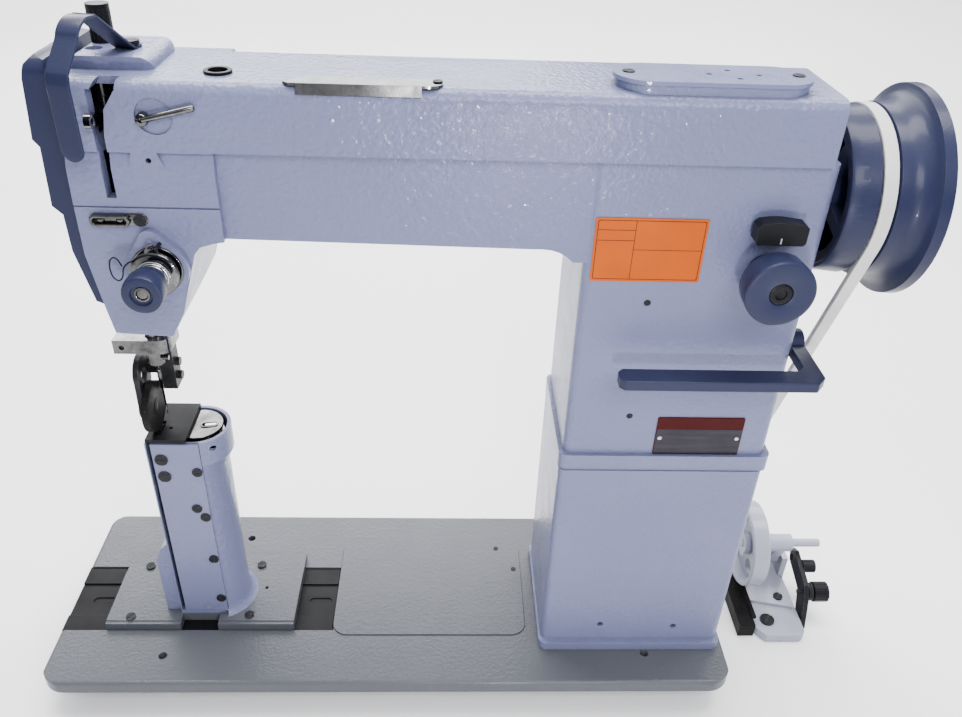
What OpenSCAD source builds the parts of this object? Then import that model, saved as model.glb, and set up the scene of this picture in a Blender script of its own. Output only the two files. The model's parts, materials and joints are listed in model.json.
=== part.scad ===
// Post-bed roller-foot sewing machine for leather.
// The bed frame has x = 0 at the bed's left edge, y = 0 at mid depth and z = 0 at the bed's top face.

/* [Bed] */
// Length of the bed plate
bed_l = 518; // [510:1:526]
// Depth of the bed plate
bed_w = 178; // [174:1:184]
// Thickness of the bed's rim
bed_t = 10; // [8:1:12]
// Height of the bed's top face above the resting plane
bed_top = 34; // [34:1:40]
// Radius of the bed's corners
bed_r = 18; // [10:1:24]

/* [Post] */
// Height of the post's rim above the bed
post_h = 177; // [176:1:178]
// Radius of the post's round side
post_r = 22.4; // [22.4:0.1:23]
// Radius of the rotary hook
hook_r = 16.8; // [16:0.1:16.8]

/* [Arm] */
// Height of the arm's flat top above the bed
arm_top = 428; // [426:1:430]
// Height of the arm's underside above the bed
arm_under = 338; // [334:1:340]
// Thickness of the casting's walls
wall = 8; // [6:1:8]
// Height of the main shaft above the bed
shaft_z = 365.4; // [365:0.1:366]
// Depth position of the main shaft
shaft_y = -14.1; // [-14.2:0.1:-14]
// Radius of the main shaft
shaft_r = 7.5; // [6:0.5:8]

/* [Column] */
// Height of the riser box
riser_h = 178; // [176:1:178]
// Left face of the upper column
col_x0 = 375; // [374:1:376]
// Right face of the upper column
col_x1 = 512; // [511:1:513]

/* [Handwheel] */
// Radius of the outer rim
wheel_r = 62.5; // [60:0.5:64]
// Radius of the belt drum
drum_r = 49.6; // [49:0.1:50]

/* [Needle side] */
// Needle bar position along the bed
needle_x = 106.2; // [106:0.1:106.5]
// Presser bar position along the bed
presser_x = 106.4; // [106:0.1:106.6]
// Presser bar depth position
presser_y = 1.2; // [1:0.1:2]
// Radius of the roller foot
roller_r = 17.8; // [17:0.1:18]

/* [Hidden] */
$fn = 64;
needle_y = shaft_y;
hook_x = 123.0;
hook_y = -5.5;
plate_z = post_h + 2.5;
feed_r = 12;
feed_top = plate_z + 0.6;
feed_z = feed_top - feed_r;
idler_z = feed_z - 2 * feed_r - 0.4;
feed_x = 98.7;
roller_z = feed_top + 0.3 + roller_r;
low_y = -5.5;
low_z = -17;
fshaft_y = -21.5;
pulley_r = 13.5;
crank_e = 16;
take_x = 115.5;
take_y = -22;
take_z = 402;
tens_x = 134.5;
tens_z = 326;
dial_x = 481;
dial_z = 329;
lift_x = 134;
lift_z = 318;
lever_y = -30;
lever_z = 267;
box_top = 434.6;
belt_x = 536;
belt_r2 = 30;
belt_y2 = 118.6;
belt_z2 = -3.6;
wind_y = 35;
wind_z = 23;
wind_r = 36.5;
floor_z = -bed_top;

// ---------- helpers ----------

module on_bed() translate([-bed_l / 2, 0, bed_top]) children();

module block(x0, x1, y0, y1, z0, z1)
  translate([x0, y0, z0]) cube([x1 - x0, y1 - y0, z1 - z0]);

module rod_x(r, x0, x1, y, z)
  translate([x0, y, z]) rotate([0, 90, 0]) cylinder(h = x1 - x0, r = r);

module rod_y(r, x, y0, y1, z)
  translate([x, y1, z]) rotate([90, 0, 0]) cylinder(h = y1 - y0, r = r);

module rod_z(r, x, y, z0, z1)
  translate([x, y, z0]) cylinder(h = z1 - z0, r = r);

// A flat shape drawn in the x-z plane and given depth along y.
module slab_xz(y0, y1)
  translate([0, y1, 0]) rotate([90, 0, 0]) linear_extrude(y1 - y0) children();

// A flat shape drawn in the y-z plane and given length along x.
module slab_yz(x0, x1)
  translate([x0, 0, 0]) rotate([90, 0, 90]) linear_extrude(x1 - x0) children();

// A rectangle with rounded corners.
module round_rect(x0, x1, y0, y1, r) {
  translate([x0 + r, y0]) square([x1 - x0 - 2 * r, y1 - y0]);
  translate([x0, y0 + r]) square([x1 - x0, y1 - y0 - 2 * r]);
  for (x = [x0 + r, x1 - r], y = [y0 + r, y1 - r]) translate([x, y]) circle(r);
}

// Points along an arc, from angle a0 to a1, in n steps.
function arc(cx, cy, r, a0, a1, n) =
  [for (i = [0 : n]) let (a = a0 + (a1 - a0) * i / n) [cx + r * cos(a), cy + r * sin(a)]];

// A ring around the x axis line through (y, z).
module ring_x(r_out, r_in, x0, x1, y, z) difference() {
  rod_x(r_out, x0, x1, y, z);
  rod_x(r_in, x0 - 1, x1 + 1, y, z);
}

module ring_z(r_out, r_in, x, y, z0, z1) difference() {
  rod_z(r_out, x, y, z0, z1);
  rod_z(r_in, x, y, z0 - 1, z1 + 1);
}

// A spur gear along x: a disc with square notches around its edge.
module gear_x(r, n, x0, x1, y, z) difference() {
  rod_x(r, x0, x1, y, z);
  for (i = [0 : n - 1]) translate([x0 - 1, y, z]) rotate([360 / n * i, 0, 0])
    translate([0, r - 1.6, -r * 1.3 / n]) cube([x1 - x0 + 2, 3, r * 2.6 / n]);
}

// A screw head that faces the viewer, with a straight slot.
module screw_y(r, t, x, y, z, turn = 20) difference() {
  rod_y(r, x, y - t, y, z);
  translate([x, y - t, z]) rotate([0, turn, 0]) cube([2 * r + 1, 0.9, 0.9], center = true);
}

module screw_z(r, t, x, y, z, turn = 30) difference() {
  rod_z(r, x, y, z, z + t);
  translate([x, y, z + t]) rotate([0, 0, turn]) cube([2 * r + 1, 0.9, 0.9], center = true);
}

// ---------- bed ----------

bed_holes = [[85, -64], [454, -62], [128, 60]];

module bed_outline() round_rect(0, bed_l, -bed_w / 2, bed_w / 2, bed_r);

module edge_profile(x0, x1, r) intersection() {
  translate([x0, -bed_t]) square([x1 - x0, bed_t]);
  round_rect(x0, x1, -bed_t - 20, 0, r);
}

module bed_plate() color("gainsboro") on_bed() difference() {
  union() {
    intersection() {
      translate([0, 0, -bed_t]) linear_extrude(bed_t) bed_outline();
      slab_xz(-bed_w, bed_w) edge_profile(0, bed_l, 3.5);
      slab_yz(-1, bed_l + 1) edge_profile(-bed_w / 2, bed_w / 2, 3.5);
    }
    difference() {
      block(18, 500, -58, 58, floor_z, -bed_t + 1);
      block(25, 493, -51, 51, floor_z - 1, -bed_t);
    }
    for (x = [146, 440]) block(x, x + 12, -52, 52, floor_z + 4, -bed_t + 1);
    block(bed_l / 2 - 6, bed_l / 2 + 6, -52, 52, floor_z, -bed_t + 1);
  }
  block(-1, 211, -40, 26, -4, 1);
  block(96, 142, -28.4, 15, -bed_t - 1, 1);
  block(386, 500, -42, 32, -bed_t - 1, 1);
  translate([0, 0, -2.2]) linear_extrude(4) round_rect(210, 363, -45, 58, 12);
  for (h = bed_holes) rod_z(3.2, h[0], h[1], -bed_t - 1, 1);
  rod_x(6.5, 140, 460, low_y, low_z);
  rod_x(5, 140, 460, fshaft_y, low_z);
}

module bed_panel() color("whitesmoke") on_bed() difference() {
  translate([0, 0, -2.1]) linear_extrude(3) round_rect(210.3, 362.7, -44.7, 57.7, 11.7);
  for (h = [[343, 48], [357, 24]]) rod_z(2.3, h[0], h[1], -3, 2);
}

module channel_rail() color("dimgray") on_bed() difference() {
  union() {
    block(0.3, 209.5, -39.7, 25.7, -3.9, -2.6);
    block(0.3, 209.5, 8.5, 25.7, -3.9, -1.2);
    block(0.3, 209.5, -39.7, -24.5, -3.9, -1.2);
  }
  block(95, 143, -28.8, 16, -5, 0);
  for (x = [14, 188]) translate([0, 0, -3.5]) linear_extrude(4) round_rect(x, x + 18, -12, -5, 3.4);
}

// ---------- post ----------

base_screws = [[53, 20], [144.5, 22], [53, -33], [144.5, -31]];

module post_base() color("gainsboro") on_bed() difference() {
  union() {
    block(35, 180, -39.4, 25.4, -1.0, 7);
    block(35, 180, 25, 36, 0.1, 6.2);
  }
  block(34, 181, -40, -36.5, 6.2, 8);
  block(34, 181, 14, 26, 6.2, 8);
  block(92.6, 121.4, -41, -29.2, -2, 8);
  block(97, 118, -28.4, 14, -2, 8);
  translate([0, 0, -2]) linear_extrude(10) post_outline(low_cx, post_r - skin, 97);
  for (s = base_screws) rod_z(2.2, s[0], s[1], -2, 8);
  rod_z(1.4, 153, -2.7, 3, 8);
}

module post_outline(cx, r, x0) {
  translate([x0, -6.4 - r]) square([cx - x0, 2 * r]);
  translate([cx, -6.4]) circle(r);
}

low_cx = 118;
high_cx = 122.6;
post_x0 = 91.4;
skin = 2.4;

module post_shell() {
  translate([0, 0, 7.05]) linear_extrude(143) post_outline(low_cx, post_r, post_x0);
  hull() {
    translate([0, 0, 148]) linear_extrude(0.1) post_outline(low_cx, post_r, post_x0);
    translate([0, 0, 157]) linear_extrude(0.1) post_outline(high_cx, post_r, post_x0);
  }
  translate([0, 0, 156.9]) linear_extrude(post_h - 156.9) post_outline(high_cx, post_r, post_x0);
  // Rib at the left foot and fillet around the round side.
  slab_xz(-25, 8) polygon([[79.5, 7.05], [93, 7.05], [93, 82], [91.4, 80], [84.5, 73], [79.5, 61]]);
  intersection() {
    translate([low_cx, -6.4, 0]) rotate_extrude() polygon([[post_r - 1, 7.05], [post_r + 6, 7.05],
      [post_r + 3.6, 8.4], [post_r + 2, 10.6], [post_r + 0.9, 14], [post_r + 0.3, 18], [post_r - 1, 22]]);
    block(128.2, 150, -40, 30, 7, 23);
  }
}

module post_body() color("gainsboro") on_bed() difference() {
  post_shell();
  difference() {
    union() {
      translate([0, 0, 5]) linear_extrude(147) post_outline(low_cx, post_r - skin, 96.5);
      translate([0, 0, 151]) linear_extrude(30) post_outline(high_cx, post_r - skin, 96.5);
    }
    for (z = [14, 128]) block(109.5, 146, -24.5, 17, z, z + 12);
  }
  block(98.8, 124.5, -30, -24, 13, 172);
  block(94.8, 128, -30, -26.7, 10, post_h + 1);
  // Shadow gap along the cover's left edge.
  block(92.2, 94.9, -30, -21, 10, post_h + 1);
  rod_y(2.1, 136, -30, -20, 170);
  rod_z(6.5, hook_x, hook_y, 0, 141);
  rod_x(4.4, 90, 97, needle_y, feed_z);
  rod_x(4.4, 90, 97, needle_y, idler_z);
}

cover_screws = [[101, 163, 4.6], [101, 148, 4.6], [124, 152, 3.7], [119, 118, 3.7],
                [124, 109.5, 3.7], [124.2, 67, 3.7], [124.4, 24.5, 3.7]];

module post_cover() color("whitesmoke") on_bed() difference() {
  block(95, 127.7, -28.8, -26.9, 10.3, 176);
  for (s = cover_screws) rod_y(s[2] * 0.5, s[0], -30, -26, s[1]);
}

module needle_plate() color("dimgray") on_bed() difference() {
  intersection() {
    translate([0, 0, post_h + 0.1]) linear_extrude(2.4) post_outline(high_cx, post_r - 0.8, 92);
    block(90, 119.5, -40, 40, post_h, plate_z + 1);
  }
  block(feed_x - 2.6, feed_x + 2.6, needle_y - 8, needle_y + 8, post_h - 1, plate_z + 1);
  rod_z(1.25, needle_x, needle_y, post_h - 1, plate_z + 1);
}

// ---------- column and arm ----------

module riser_box() color("gainsboro") on_bed() difference() {
  union() {
    translate([0, 0, 0.1]) linear_extrude(riser_h - 0.2) round_rect(373, col_x1, -54, 44, 5);
    translate([0, 0, 0.1]) linear_extrude(7.9) round_rect(371.5, col_x1 + 1.5, -58.8, 48, 6);
  }
  block(381, 505, -46, 36, -1, riser_h + 1);
  for (h = [[418, 24], [475, 22]]) rod_y(2.3, h[0], -55, -50, h[1]);
}

module arm_profile() {
  intersection() {
    union() {
      translate([-54, 392]) square([80, 36]);
      translate([-48.7, 330]) square([74.7, 70]);
    }
    union() {
      round_rect(-54, 20, 300, arm_top, 7);
      translate([-5, arm_top - 31]) circle(31);
      translate([-10, 300]) square([36, arm_top - 331]);
    }
  }
}

function arm_side() = concat(
  [[160, arm_under + 3], [342, arm_under]],
  arc(351, arm_under - 24, 24, 90, 0, 8),
  [[col_x0, 178], [col_x1, 178], [col_x1, 388], [505, 392], [505, 440], [160, 440]]);

function head_side() = concat(
  [[94.3, 428.3], [95, 393], [94, 361], [93.8, 332], [98.6, 297], [101.2, 281]],
  arc(132, 283, 4, 270, 345, 4),
  [[143, 295], [154.5, 333], [158, 337.5], [166, 340], [172, 341], [180, 341], [180, arm_top],
   [94.3, arm_top]]);

module head_block() {
  intersection() {
    slab_xz(-54, 26) polygon(head_side());
    slab_yz(90, 172) round_rect(-54, 26, 200, arm_top, 6);
  }
  // Raised box on the head's top.
  intersection() {
    slab_xz(-31, 16) round_rect(96, 141, 380, box_top, 7);
    translate([0, 0, 380]) linear_extrude(70) round_rect(96, 141, -31, 16, 5);
  }
  // Boss for the thread tension.
  rod_y(17, tens_x, -58.5, -40, tens_z);
  rod_y(6.5, tens_x - 2, -58.5, -40, 342.6);
  slab_xz(-58.5, -40) polygon([[tens_x - 14.6, tens_z + 8.6], [tens_x - 8.2, 344.5],
    [tens_x + 3.6, 346], [tens_x + 13.6, tens_z + 10.2]]);
}

module arm_solid() {
  intersection() {
    slab_xz(-54, 26) polygon(arm_side());
    slab_yz(150, 505) arm_profile();
  }
  // Upper column and its foot flange.
  translate([0, 0, 189]) linear_extrude(203) round_rect(col_x0, col_x1, -50, 40, 6);
  translate([0, 0, riser_h]) linear_extrude(12) round_rect(372.5, 515.5, -53, 44, 6);
  head_block();
  // Boss under the top cover.
  translate([0, 0, 420]) linear_extrude(12.4) round_rect(384, 489, -49, -13, 17.9);
}

module arm_hollow() {
  // Arm tunnel.
  slab_yz(128, 497) intersection() {
    round_rect(-46, 18, 346, arm_top - wall, 5);
    union() {
      translate([-5, arm_top - 31]) circle(31 - wall);
      translate([-60, 300]) square([55, 140]);
      translate([-60, 300]) square([78, 97]);
    }
  }
  // Column shaft.
  block(col_x0 + wall, col_x1 - wall, -42, 32, 170, 384);
  // Head chamber, open to the left.
  difference() {
    block(90, 160, -46, 20, 301, 424);
    block(90, 113.3, -46, 21, 389, 399);
    slab_xz(-46, 21) polygon([[141, 300], [151, 336], [161, 346], [161, 300]]);
  }
}

front_holes = [[415.7, 305], [416, 221]];

module arm_casting() color("gainsboro") on_bed() {
  arm_cast();
  // Pivot stud of the take-up lever.
  rod_x(2.99, 113.8, 121.5, take_y, take_z);
  rod_y(3.4, 121.3, -47, -18.5, take_z);
}

module arm_cast() difference() {
  arm_solid();
  difference() {
    arm_hollow();
    // Bulkheads that carry the main shaft.
    for (x = [176, 372]) slab_yz(x, x + 14) round_rect(-47, 19, 335, 425, 1);
  }
  // Bores of the main shaft bushings.
  rod_x(shaft_r + 4, 170, 520, shaft_y, shaft_z);
  // Bores of the needle bar and presser bar bushings.
  for (z = [[288, 302], [388, 400]]) {
    rod_z(5, needle_x, needle_y, z[0], z[1]);
    rod_z(5.4, presser_x, presser_y, z[0], z[1]);
  }
  rod_z(4.2, needle_x, needle_y, 270, 290);
  rod_z(4.6, presser_x, presser_y, 270, 290);
  rod_z(6.15, presser_x, presser_y, 420, 440);
  rod_z(4.6, needle_x, needle_y, 420, 440);
  // Take-up slot with its hand clearance above.
  block(take_x - 2.6, take_x + 2.6, -60, -40, 366, 424);
  slab_xz(-60, -43) polygon([[take_x - 2.6, 400], [take_x + 2.6, 400], [take_x + 5, 414],
    [take_x + 12, 424], [take_x + 14, 445], [take_x + 6, 445], [take_x + 3, 430], [take_x - 2.6, 420]]);
  // Spring and screw seats.
  rod_y(4.2, tens_x, -60, -40, tens_z);
  rod_y(3.05, dial_x, -52, -40, dial_z);
  block(473, 490, -52, -40, 347.5, 358.5);
  rod_x(4.05, 500, 520, lever_y, lever_z);
  for (h = front_holes) rod_y(2.2, h[0], -51, -46, h[1]);
  rod_z(6.3, 174.7, -31, 419, 430);
  // Rear window of the column.
  block(396, 492, 30, 42, 226, 376);
  // Recess of the upper thread guide.
  rod_y(9.6, 145, -55, -52.8, 411);
  // Crease on the head, and the cove under its top band with a small boss.
  block(93, 173, -55, -53.1, 360.4, 361.4);
  difference() {
    slab_yz(93, 173) polygon([[-55, 391.6], [-51.6, 391.6], [-54.05, 382.4], [-55, 382.4]]);
    slab_xz(-56, -50) polygon([[126.5, 381], [130, 392], [143, 392], [147.5, 381]]);
  }
  rod_y(1.5, 138.4, -55, -49, 387.4);
  // Lifter pivot.
  rod_y(4.05, lift_x, 15, 30, lift_z);
}

module face_cover() color("slategray") on_bed() difference() {
  intersection() {
    slab_xz(-50, 24) polygon([[93.6, 427], [92.6, 436], [87, 438], [83, 434], [81.4, 427], [79, 396],
      [82, 392], [80.5, 359], [85.4, 354], [85.6, 332], [92.4, 300], [98.2, 297.4], [93.5, 332.3],
      [93.7, 361], [94.6, 393], [93.9, 427]]);
    slab_yz(70, 100) round_rect(-50, 24, 290, 438, 9);
  }
  block(85.5, 99, -42, 16, 362, 428);
}

module column_rear_cover() color("whitesmoke") on_bed()
  slab_xz(40.1, 42.6) round_rect(388, 500, 218, 384, 8);

module top_cover() color("white") on_bed() difference() {
  translate([0, 0, 432.5]) linear_extrude(2.2) round_rect(382.5, 490.5, -50, -12, 18.9);
  for (h = [[434, -32], [461, -32], [446, -23.5], [448.5, -40]]) rod_z(1.6, h[0], h[1], 430, 436);
  for (x = [391, 483]) rod_z(2.2, x, -31, 430, 436);
}

// All the black oxide screws, each a solid of its own.
module black_screws() color("black") on_bed() {
  for (s = cover_screws) {
    screw_y(s[2], 0.9, s[0], -28.85, s[1], 25 + s[1]);
    rod_y(s[2] * 0.48, s[0], -28.9, -26.9, s[1]);
  }
  for (s = base_screws) screw_z(3.7, 1.1, s[0], s[1], 7.05, s[0]);
  for (x = [391, 483]) screw_z(3.4, 0.6, x, -31, 434.75, x);
  for (h = [[343, 48], [357, 24]]) rod_z(2.2, h[0], h[1], -2, 1.3);
  screw_z(2.6, 0.7, 290, -43, 429.6);
  screw_z(5, 2, 124, -9, guard_z + 0.85, 10);
  for (h = front_holes) rod_y(2.1, h[0], -49.6, -46.2, h[1]);
  for (x = [396, 492], z = [226, 376]) rod_y(3.4, x, 42.65, 44, z);
  for (s = [[574, -8, 6, 8], [590, 15, 4, 11]]) screw_z(s[2], 1.6, s[0], s[1], floor_z + s[3] + 0.05, 50);
}

module oil_cap() color("dimgray") on_bed() difference() {
  union() {
    rod_z(7.5, 174.7, -31, arm_top + 0.05, arm_top + 1.6);
    rod_z(6.2, 174.7, -31, 421, arm_top + 1);
  }
  rod_z(5, 174.7, -31, 422, 431);
}

module top_strip() color("silver") on_bed() {
  difference() {
    translate([0, 0, arm_top + 0.05]) linear_extrude(1.5)
      polygon(concat([[211, -49], [222, -38], [281, -38]], arc(286, -45, 7, 90, -90, 10), [[214, -52]]));
    rod_z(1.5, 290, -43, 427, 431);
  }
  // Front lip over the arm's rounded edge.
  slab_yz(218, 282) polygon([[-51, 429.5], [-52.1, 429.5], [-54.7, 424.4], [-53.8, 424.4], [-51.5, 428.1]]);
}

module front_label() color("orange") on_bed()
  slab_xz(-50.6, -50.05) round_rect(379.3, 443.7, 319.5, 359.3, 1);

module data_plate() color("firebrick") on_bed() {
  slab_xz(-50.9, -50.05) round_rect(435, 492.5, 190.4, 220.5, 1);
  for (x = [438, 489.5]) rod_y(1.3, x, -51.5, -50.8, 204);
}

// Pressed thread guides on the head.
module thread_guides() color("silver") on_bed() {
  difference() {
    slab_xz(-58, -54.1) round_rect(101.6, 132.7, 350.5, 357.5, 3.2);
    for (x = [106, 117, 128.5]) rod_y(1.7, x, -60, -50, 354);
    block(101, 123, -58.5, -55.2, 348, 360);
  }
  difference() {
    rod_y(3.4, 139.6, -58.5, -52.9, 410);
    rod_y(1.2, 139.6, -60, -56, 410);
  }
  translate([141, -57, 410.4]) rotate([0, 90 - 14, 0]) cylinder(h = 27, r = 1.7);
}

// ---------- take-up guard ----------

strap_w = 12;
strap_t = 1.6;
guard_turn = 12.5;
guard_z = box_top + 0.9;

// Centre line of the bent strip: distance out from its screw, and height.
function strap_line() = concat(
  [[-6, 0], [5, 0]],
  arc(40, 7, 15, 120, 25, 8),
  arc(51, -6, 16, 30, 0, 4),
  [[67, -42]]);

function unit(v) = v / norm(v);
function side(p, i) =
  let (a = p[max(i - 1, 0)], b = p[min(i + 1, len(p) - 1)], d = unit(b - a)) [-d[1], d[0]];

module thick_line(p, t) polygon(concat(
  [for (i = [0 : len(p) - 1]) p[i] + side(p, i) * t / 2],
  [for (i = [len(p) - 1 : -1 : 0]) p[i] - side(p, i) * t / 2]));

module take_up_guard() color("slategray") on_bed()
  translate([124, -9, guard_z]) rotate([0, 0, -guard_turn]) difference() {
    rotate([90, 0, -90]) translate([0, 0, -strap_w / 2]) linear_extrude(strap_w)
      thick_line(strap_line(), strap_t);
    cylinder(h = 10, r = 2.4, center = true);
  }

// ---------- thread tension ----------

module tension_post() color("silver") on_bed() {
  rod_y(4.1, tens_x, -60, -41, tens_z);
  rod_y(3, tens_x, -88, -59, tens_z);
}

module tension_discs() color("silver") on_bed() for (y = [-63, -66.6])
  difference() {
    union() {
      rod_y(13.5, tens_x, y - 0.5, y + 0.5, tens_z);
      rod_y(10, tens_x, y - 1.3, y + 1.3, tens_z);
    }
    rod_y(3.05, tens_x, y - 3, y + 3, tens_z);
  }

module tension_knob() color("slategray") on_bed() difference() {
  union() {
    rod_y(11, tens_x, -90, -79, tens_z);
    rod_y(10, tens_x, -79.5, -74, tens_z);
    rod_y(7.5, tens_x, -74.5, -69, tens_z);
  }
  rod_y(6, tens_x, -92, -89, tens_z);
  rod_y(3.06, tens_x, -92, -68, tens_z);
}

module check_spring() color("silver") on_bed() {
  difference() {
    rod_y(7.5, tens_x, -61.2, -58.9, tens_z);
    rod_y(4.2, tens_x, -63, -55, tens_z);
  }
  rod_x(0.7, tens_x - 20.5, tens_x - 2, -60, tens_z + 6.2);
  slab_xz(-60.4, -59.6) translate([tens_x - 22, tens_z + 1]) difference() {
    circle(5.4);
    circle(4.3);
  }
}

// ---------- shafts and bushings ----------

main_bush_x = [[176, 190], [372, 386], [493, 511]];
bar_r = 3.6;

// Bronze bushings of every shaft and bar.
module bushings() color("goldenrod") on_bed() {
  for (b = main_bush_x) ring_x(shaft_r + 3.98, shaft_r + 0.05, b[0], b[1], shaft_y, shaft_z);
  for (z = [[288, 301], [389, 399]]) {
    ring_z(4.98, bar_r + 0.04, needle_x, needle_y, z[0], z[1]);
    ring_z(5.38, 4.24, presser_x, presser_y, z[0], z[1]);
  }
  for (x = [146, 440]) {
    ring_x(6.48, 4.05, x, x + 12, low_y, low_z);
    ring_x(4.98, 3.05, x, x + 12, fshaft_y, low_z);
  }
  for (z = [14, 128]) ring_z(6.48, 4.05, hook_x, hook_y, z, z + 12);
  for (z = [feed_z, idler_z]) ring_x(4.38, 2.55, 91.6, 96.6, needle_y, z);
}

module main_shaft() color("silver") on_bed() rod_x(shaft_r, 119.5, 556, shaft_y, shaft_z);

function wheel_profile() = concat(
  [[16, 517], [44, 517], [45.2, 515.4], [47.2, 515.4], [48.2, 517], [drum_r, 531], [43.2, 533.4],
   [43.2, 538.6], [drum_r, 541], [50.8, 541.2], [51.2, 545]],
  arc(63, 547, 11.8, 180, 118, 6),
  [[wheel_r - 1, 558.6]],
  arc(wheel_r - 3, 563, 3, 40, 90, 4),
  [[50, 566], [46, 562], [44, 556], [30, 553], [24, 556], [22, 562], [9.5, 562], [9.5, 556],
   [shaft_r, 556], [shaft_r, 519], [16, 519]]);

module handwheel() color("slategray") on_bed() translate([0, shaft_y, shaft_z]) difference() {
  rotate([0, 90, 0]) rotate_extrude($fn = 128) polygon(wheel_profile());
  // Hollow back of the drum.
  rotate([0, 90, 0]) translate([0, 0, 514]) difference() {
    cylinder(h = 30, r = 38.5);
    translate([0, 0, -1]) cylinder(h = 40, r = 19);
    for (a = [0, 72, 144, 216, 288]) rotate([0, 0, a]) translate([0, -4, -1]) cube([42, 8, 40]);
  }
  translate([0, 0, 0]) rod_x(2.2, 550, 570, 15.5, 0);
}

module crank_disc() color("silver") on_bed() {
  difference() {
    union() {
      rod_x(14, 119.4, 133, shaft_y, shaft_z);
      intersection() {
        rod_x(22, 119.4, 133, shaft_y, shaft_z);
        block(118, 134, -40, 20, shaft_z - 23, shaft_z - 2);
      }
      slab_yz(119.4, 124.5) round_rect(shaft_y - 6, shaft_y + 6, shaft_z, shaft_z + crank_e + 6, 5.9);
    }
    rod_x(shaft_r, 118, 134, shaft_y, shaft_z);
  }
  rod_x(3.5, 111.2, 119.6, shaft_y, shaft_z + crank_e);
}

module upper_pulley() color("dimgray") on_bed() difference() {
  union() {
    gear_x(pulley_r, 24, 462, 474, shaft_y, shaft_z);
    for (x = [460.6, 473.8]) rod_x(pulley_r + 1.4, x, x + 1.6, shaft_y, shaft_z);
  }
  rod_x(shaft_r, 450, 480, shaft_y, shaft_z);
}

belt_gap = 0.4;

// A closed belt loop around two equal pulleys, in the y-z plane.
module belt_loop(x0, x1, ya, za, yb, zb, r, t) {
  run = norm([ya - yb, za - zb]);
  translate([0, yb, zb]) rotate([atan2(za - zb, ya - yb) - 90, 0, 0]) slab_yz(x0, x1) difference() {
    union() {
      circle(r + t);
      translate([0, run]) circle(r + t);
      translate([-r - t, 0]) square([2 * (r + t), run]);
    }
    circle(r);
    translate([0, run]) circle(r);
    translate([-r, 0]) square([2 * r, run]);
  }
}

module timing_belt() color("black") on_bed()
  belt_loop(462.3, 473.7, shaft_y, shaft_z, low_y, low_z, pulley_r + belt_gap, 1.7);

module feed_belt() color("black") on_bed()
  belt_loop(102.2, 105.8, needle_y, idler_z, fshaft_y, low_z, 4.6 + belt_gap, 1.1);

module lower_shaft() color("silver") on_bed() {
  rod_x(4, 129.6, 492, low_y, low_z);
  // Bevel gear that drives the post shaft.
  bevel_tip = hook_x + 4.3;
  difference() {
    translate([bevel_tip, low_y, low_z]) rotate([0, 90, 0])
      cylinder(h = 2, r1 = 7.6, r2 = 11.6, $fn = 64);
    for (i = [0 : 19]) translate([hook_x, low_y, low_z]) rotate([18 * i, 0, 0])
      rotate([0, 0, 63.4]) translate([8, -0.6, -0.55]) cube([8, 1.2, 1.1]);
  }
  rod_x(8, bevel_tip + 2, bevel_tip + 8, low_y, low_z);
  // Toothed pulley.
  gear_x(pulley_r, 24, 462, 474, low_y, low_z);
  for (x = [460.6, 473.8]) rod_x(pulley_r + 1, x, x + 1.6, low_y, low_z);
}

module post_shaft() color("silver") on_bed() {
  rod_z(4, hook_x, hook_y, low_z + 10, 156.6);
  difference() {
    translate([hook_x, hook_y, low_z + 8.3]) cylinder(h = 3.9, r1 = 3.8, r2 = 5.8);
    for (i = [0 : 9]) translate([hook_x, hook_y, low_z]) rotate([0, 0, 36 * i + 18])
      translate([4.9, -0.6, 8]) cube([4, 1.2, 5]);
  }
}

// ---------- hook, case and bobbin ----------

module rotary_hook() color("silver") on_bed() difference() {
  union() {
    rod_z(hook_r, hook_x, hook_y, 157, 170);
    rod_z(8, hook_x, hook_y, 150, 158);
  }
  rod_z(hook_r - 1.6, hook_x, hook_y, 159, 171);
  rod_z(4, hook_x, hook_y, 149, 156.6);
  // Thread gap beside the hook's point.
  translate([hook_x, hook_y, 163]) rotate([0, 0, 150]) translate([12, -7, 0]) cube([10, 9, 8]);
  // Window in the far side.
  translate([hook_x, hook_y, 162.5]) rotate([0, 0, -30]) translate([12, -9, 0]) cube([10, 18, 4]);
}

case_r = hook_r - 2;

module bobbin_case() color("silver") on_bed() difference() {
  union() {
    rod_z(case_r, hook_x, hook_y, 159.4, 174.6);
    rod_z(hook_r - 0.3, hook_x, hook_y, 174.5, 176.9);
  }
  difference() {
    rod_z(case_r - 1.4, hook_x, hook_y, 160.6, 173.6);
    rod_z(2.8, hook_x, hook_y, 160, 174);
  }
  // Latch slot in the cap.
  translate([0, 0, 176]) linear_extrude(2) translate([hook_x + 7.5, hook_y - 1]) rotate(12)
    round_rect(-6, 6, -2.6, 2.6, 2.5);
}

module bobbin() color("silver") on_bed() difference() {
  union() {
    for (z = [161, 171.6]) rod_z(case_r - 1.9, hook_x, hook_y, z, z + 1);
    rod_z(5.5, hook_x, hook_y, 161, 172.6);
  }
  rod_z(2.88, hook_x, hook_y, 160, 174);
  for (i = [0 : 5]) translate([hook_x, hook_y, 160]) rotate([0, 0, 60 * i])
    translate([9.5, 0, 0]) cylinder(h = 14, r = 1.5);
}

// ---------- roller feed ----------

module feed_wheel() color("dimgray") on_bed() {
  gear_x(feed_r, 36, feed_x - 1.9, feed_x + 1.9, needle_y, feed_z);
  rod_x(2.5, 94.9, feed_x, needle_y, feed_z);
}

module feed_idler() color("dimgray") on_bed() {
  gear_x(feed_r, 36, feed_x - 1.9, feed_x + 1.9, needle_y, idler_z);
  rod_x(2.5, 94.9, 106.3, needle_y, idler_z);
  rod_x(4.6, 102, 106, needle_y, idler_z);
}

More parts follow.
